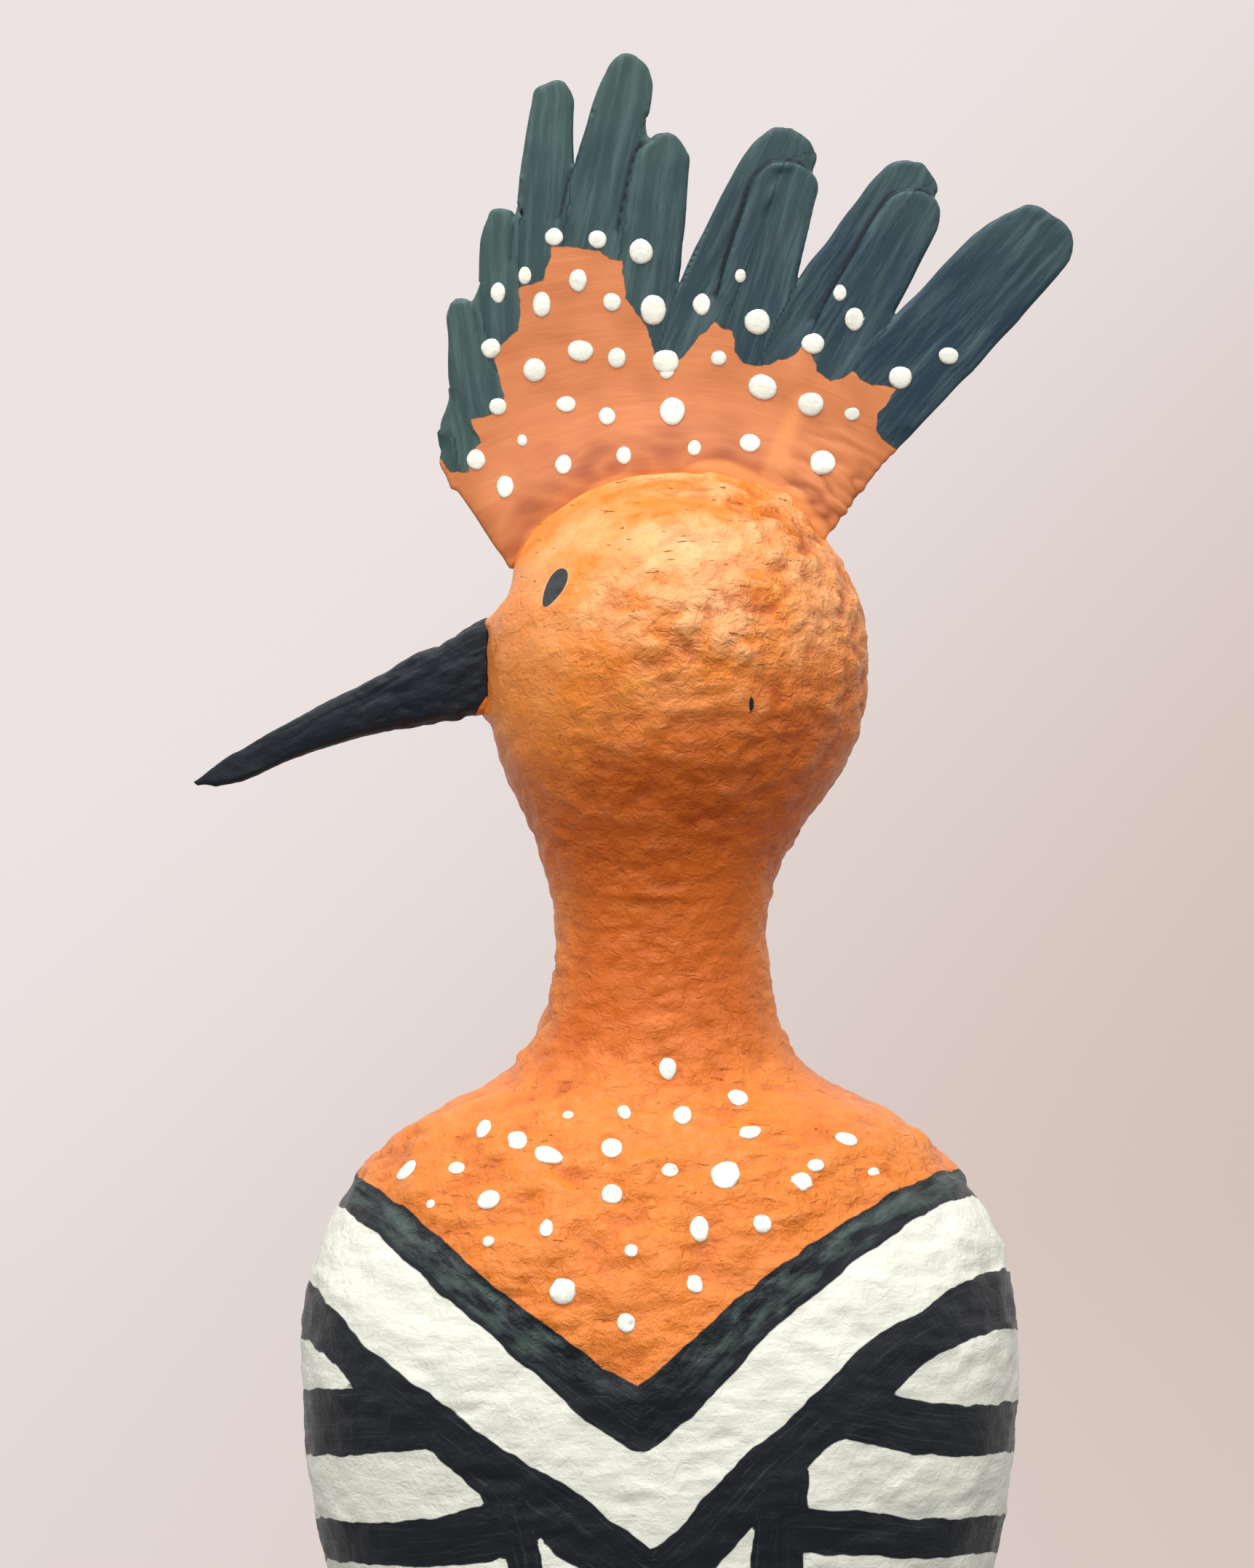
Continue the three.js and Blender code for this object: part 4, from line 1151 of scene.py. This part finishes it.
class HOOPOE_OT_beak(Operator):
    """Builds the beak of rolled and wrinkled paper"""

    bl_idname = "hoopoe.beak"
    bl_label = "Beak"

    def execute(self, context):
        sizes = context.scene.hoopoe_surface
        mesh = even_skin("beak", sizes.beak_grain, 4)
        points = points_of(mesh)
        high = np.array(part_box("beak")[1]) / MM
        drop = math.radians(BEAK_DROP)
        out, down = high[0] - points[:, 0], high[2] - points[:, 2]
        along = out * math.cos(drop) + down * math.sin(drop)
        across = out * math.sin(drop) - down * math.cos(drop)
        y = points[:, 1].copy()
        grain = np.stack([along, across + y, y], axis=1)
        share = along / np.max(along)

        # The rolled paper is pressed flat at its sides.
        flat = np.sign(y) * np.max(np.abs(y)) * (1 - share) ** 0.8 * BEAK_FLATNESS
        points[:, 1] = np.where(np.abs(y) > np.abs(flat), flat + (y - flat) * 0.3, y)
        move_points(mesh, points)

        # Its wraps are folded and knobbly at the root, with a keel near the tip and one long fold above.
        folds = lumps(grain, 3.2, 21, (3.2, 1, 1)) * (1 - 0.7 * share)
        knobs = lumps(points, 4.2, 22) * ramp(share, 0.6, 0.25)
        keel = np.maximum(-read_vectors(mesh, "normal")[:, 2], 0) * between(share, 0.7, 0.85, 0.94, 1)
        ridge = across - 5.2 * (1 - share) ** 1.15
        fold = np.exp(-((ridge / 0.7) ** 2)) * between(share, 0.03, 0.1, 0.6, 0.8)
        height = sizes.paint_coat / MM + 0.45 * folds + 0.45 * knobs + 0.08 * swells(points, 1.4, 23)
        height += 1.1 * keel - 0.6 * fold
        for place, reach, rise in BEAK_LOBES:
            height += rise * bulge(points[:, [0, 2]], place, reach)
        push_out(mesh, height * (1 - 0.8 * ramp(share, 0.93, 1)))
        # Painted highlight on the top facet and the root.
        lit_facet = ramp(ridge, 0.2, 1.2) * between(share, 0.02, 0.1, 0.55, 0.8)
        root = ramp(share, 0.35, 0.08) * between(ridge, 1.5, 4.5, 9.5, 11)
        seam = np.interp(points[:, 2], *np.array(BEAK_SEAM).T)
        note(
            mesh,
            stroke=grain,
            relief=0.4 + 0.5 * lit_facet + 0.6 * root + 0.4 * knobs,
            skin=points[:, 0] - seam - 0.3 + 0.15 * swells(points, 3, 24),
        )
        beak = make_piece("painted_beak", mesh, beak_paint(context.scene.hoopoe_paint))
        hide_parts("beak")
        return {"FINISHED"}


class HOOPOE_OT_dots(Operator):
    """Lays the raised white dots on the bib, the yoke and both faces of the crest"""

    bl_idname = "hoopoe.dots"
    bl_label = "Dots"

    def execute(self, context):
        settings = context.scene.hoopoe_dots
        material = dot_paint(context.scene.hoopoe_paint)
        tree, sockets = dab_nodes()
        values = {
            "Thickness": settings.thickness, "Bedding": settings.bedding, "Wobble": settings.wobble,
            "Paint": material,
        }
        yoke = [row for row in BIB_DOTS if row[1] > YOKE_EDGE]
        for name, surface, rows_by_side in (
            ("bib_dots", "painted_body", ((1, BIB_DOTS), (-1, yoke))),
            ("crest_dots", "painted_crest", ((1, CREST_DOTS), (-1, CREST_DOTS))),
        ):
            values["Surface"] = bpy.data.objects[surface]
            inputs = {sockets[socket].identifier: value for socket, value in values.items()}
            mesh = dots_mesh(name, values["Surface"], rows_by_side, tree, inputs)
            make_piece(name, mesh, material)
        return {"FINISHED"}


class HOOPOE_OT_stage(Operator):
    """Builds the floor and backdrop, the soft lights and the camera"""

    bl_idname = "hoopoe.stage"
    bl_label = "Stage"

    def execute(self, context):
        scene, settings = context.scene, context.scene.hoopoe_stage
        profile = [(FLOOR_MIDDLE, 0), (settings.floor_radius, 0)]
        for turn in np.arange(1, SWEEP_STEPS + 1) / SWEEP_STEPS * math.pi / 2:
            out = settings.floor_radius + settings.sweep_radius * math.sin(turn)
            profile.append((out, settings.sweep_radius * (1 - math.cos(turn))))
        profile.append((profile[-1][0], settings.wall_height))
        turns = np.arange(BACKDROP_SIDES) * 2 * math.pi / BACKDROP_SIDES
        points = [(0, 0, 0)]
        points += [(out * math.cos(a), out * math.sin(a), up) for out, up in profile for a in turns]
        mesh = bpy.data.meshes.new("backdrop")
        faces = [(first, *others[::-1]) for first, *others in ring_faces(BACKDROP_SIDES, len(profile))]
        mesh.from_pydata(points, [], faces)
        mesh.materials.append(backdrop_paper(settings))
        mesh.shade_smooth()
        backdrop = new_object("backdrop", mesh)
        backdrop.visible_diffuse = False
        backdrop.visible_glossy = False
        backdrop.visible_shadow = False

        for name, place, size, power, glints in (
            ("key", (-0.1, -1.25, 1.6), 2.2, settings.key_power, False),
            ("window", (-0.25, -0.6, 1.9), 0.4, settings.window_power, True),
            ("rear", (0.3, 1.4, 1.3), 1.2, settings.rear_power, False),
        ):
            light = bpy.data.lights.new(name, "AREA")
            light.size, light.energy = size, power
            lamp = new_object(name, light)
            lamp.location = place
            lamp.rotation_euler = (Vector(LIGHTS_AIM) - Vector(place)).to_track_quat("-Z", "Y").to_euler()
            lamp.visible_camera = False
            lamp.visible_glossy = glints
        scene.world = overhead_sky(settings)
        scene.view_settings.view_transform = "Standard"

        camera = bpy.data.cameras.new("camera")
        camera.lens = CAMERA_LENS
        camera.clip_start, camera.clip_end = 0.05, 20
        viewer = new_object("camera", camera)
        viewer.location = Vector(EYE_POINT) * MM
        viewer.rotation_euler = (math.pi / 2, 0, 0)
        scene.camera = viewer
        return {"FINISHED"}


class HOOPOE_PT_sidebar(Panel):
    """Lists the steps and the settings"""

    bl_idname = "HOOPOE_PT_sidebar"
    bl_label = "Papier-mache hoopoe"
    bl_space_type = "VIEW_3D"
    bl_region_type = "UI"
    bl_category = "Hoopoe"

    def draw(self, context):
        for step in STEPS:
            self.layout.operator(step.bl_idname)
        for name, group in GROUPS.items():
            box = self.layout.box()
            for setting in group.__annotations__:
                box.prop(getattr(context.scene, name), setting)


GROUPS = {
    "hoopoe_surface": HoopoeSurface,
    "hoopoe_paint": HoopoePaint,
    "hoopoe_dots": HoopoeDots,
    "hoopoe_stage": HoopoeStage,
}
STEPS = (HOOPOE_OT_body, HOOPOE_OT_crest, HOOPOE_OT_beak, HOOPOE_OT_dots, HOOPOE_OT_stage)


def register():
    for cls in (*GROUPS.values(), *STEPS, HOOPOE_PT_sidebar):
        bpy.utils.register_class(cls)
    for name, group in GROUPS.items():
        setattr(bpy.types.Scene, name, PointerProperty(type=group))


def unregister():
    for name in GROUPS:
        delattr(bpy.types.Scene, name)
    for cls in (HOOPOE_PT_sidebar, *reversed(STEPS), *GROUPS.values()):
        bpy.utils.unregister_class(cls)


def main():
    register()
    bpy.ops.hoopoe.body()
    bpy.ops.hoopoe.crest()
    bpy.ops.hoopoe.beak()
    bpy.ops.hoopoe.dots()
    bpy.ops.hoopoe.stage()


if __name__ == "__main__":
    main()
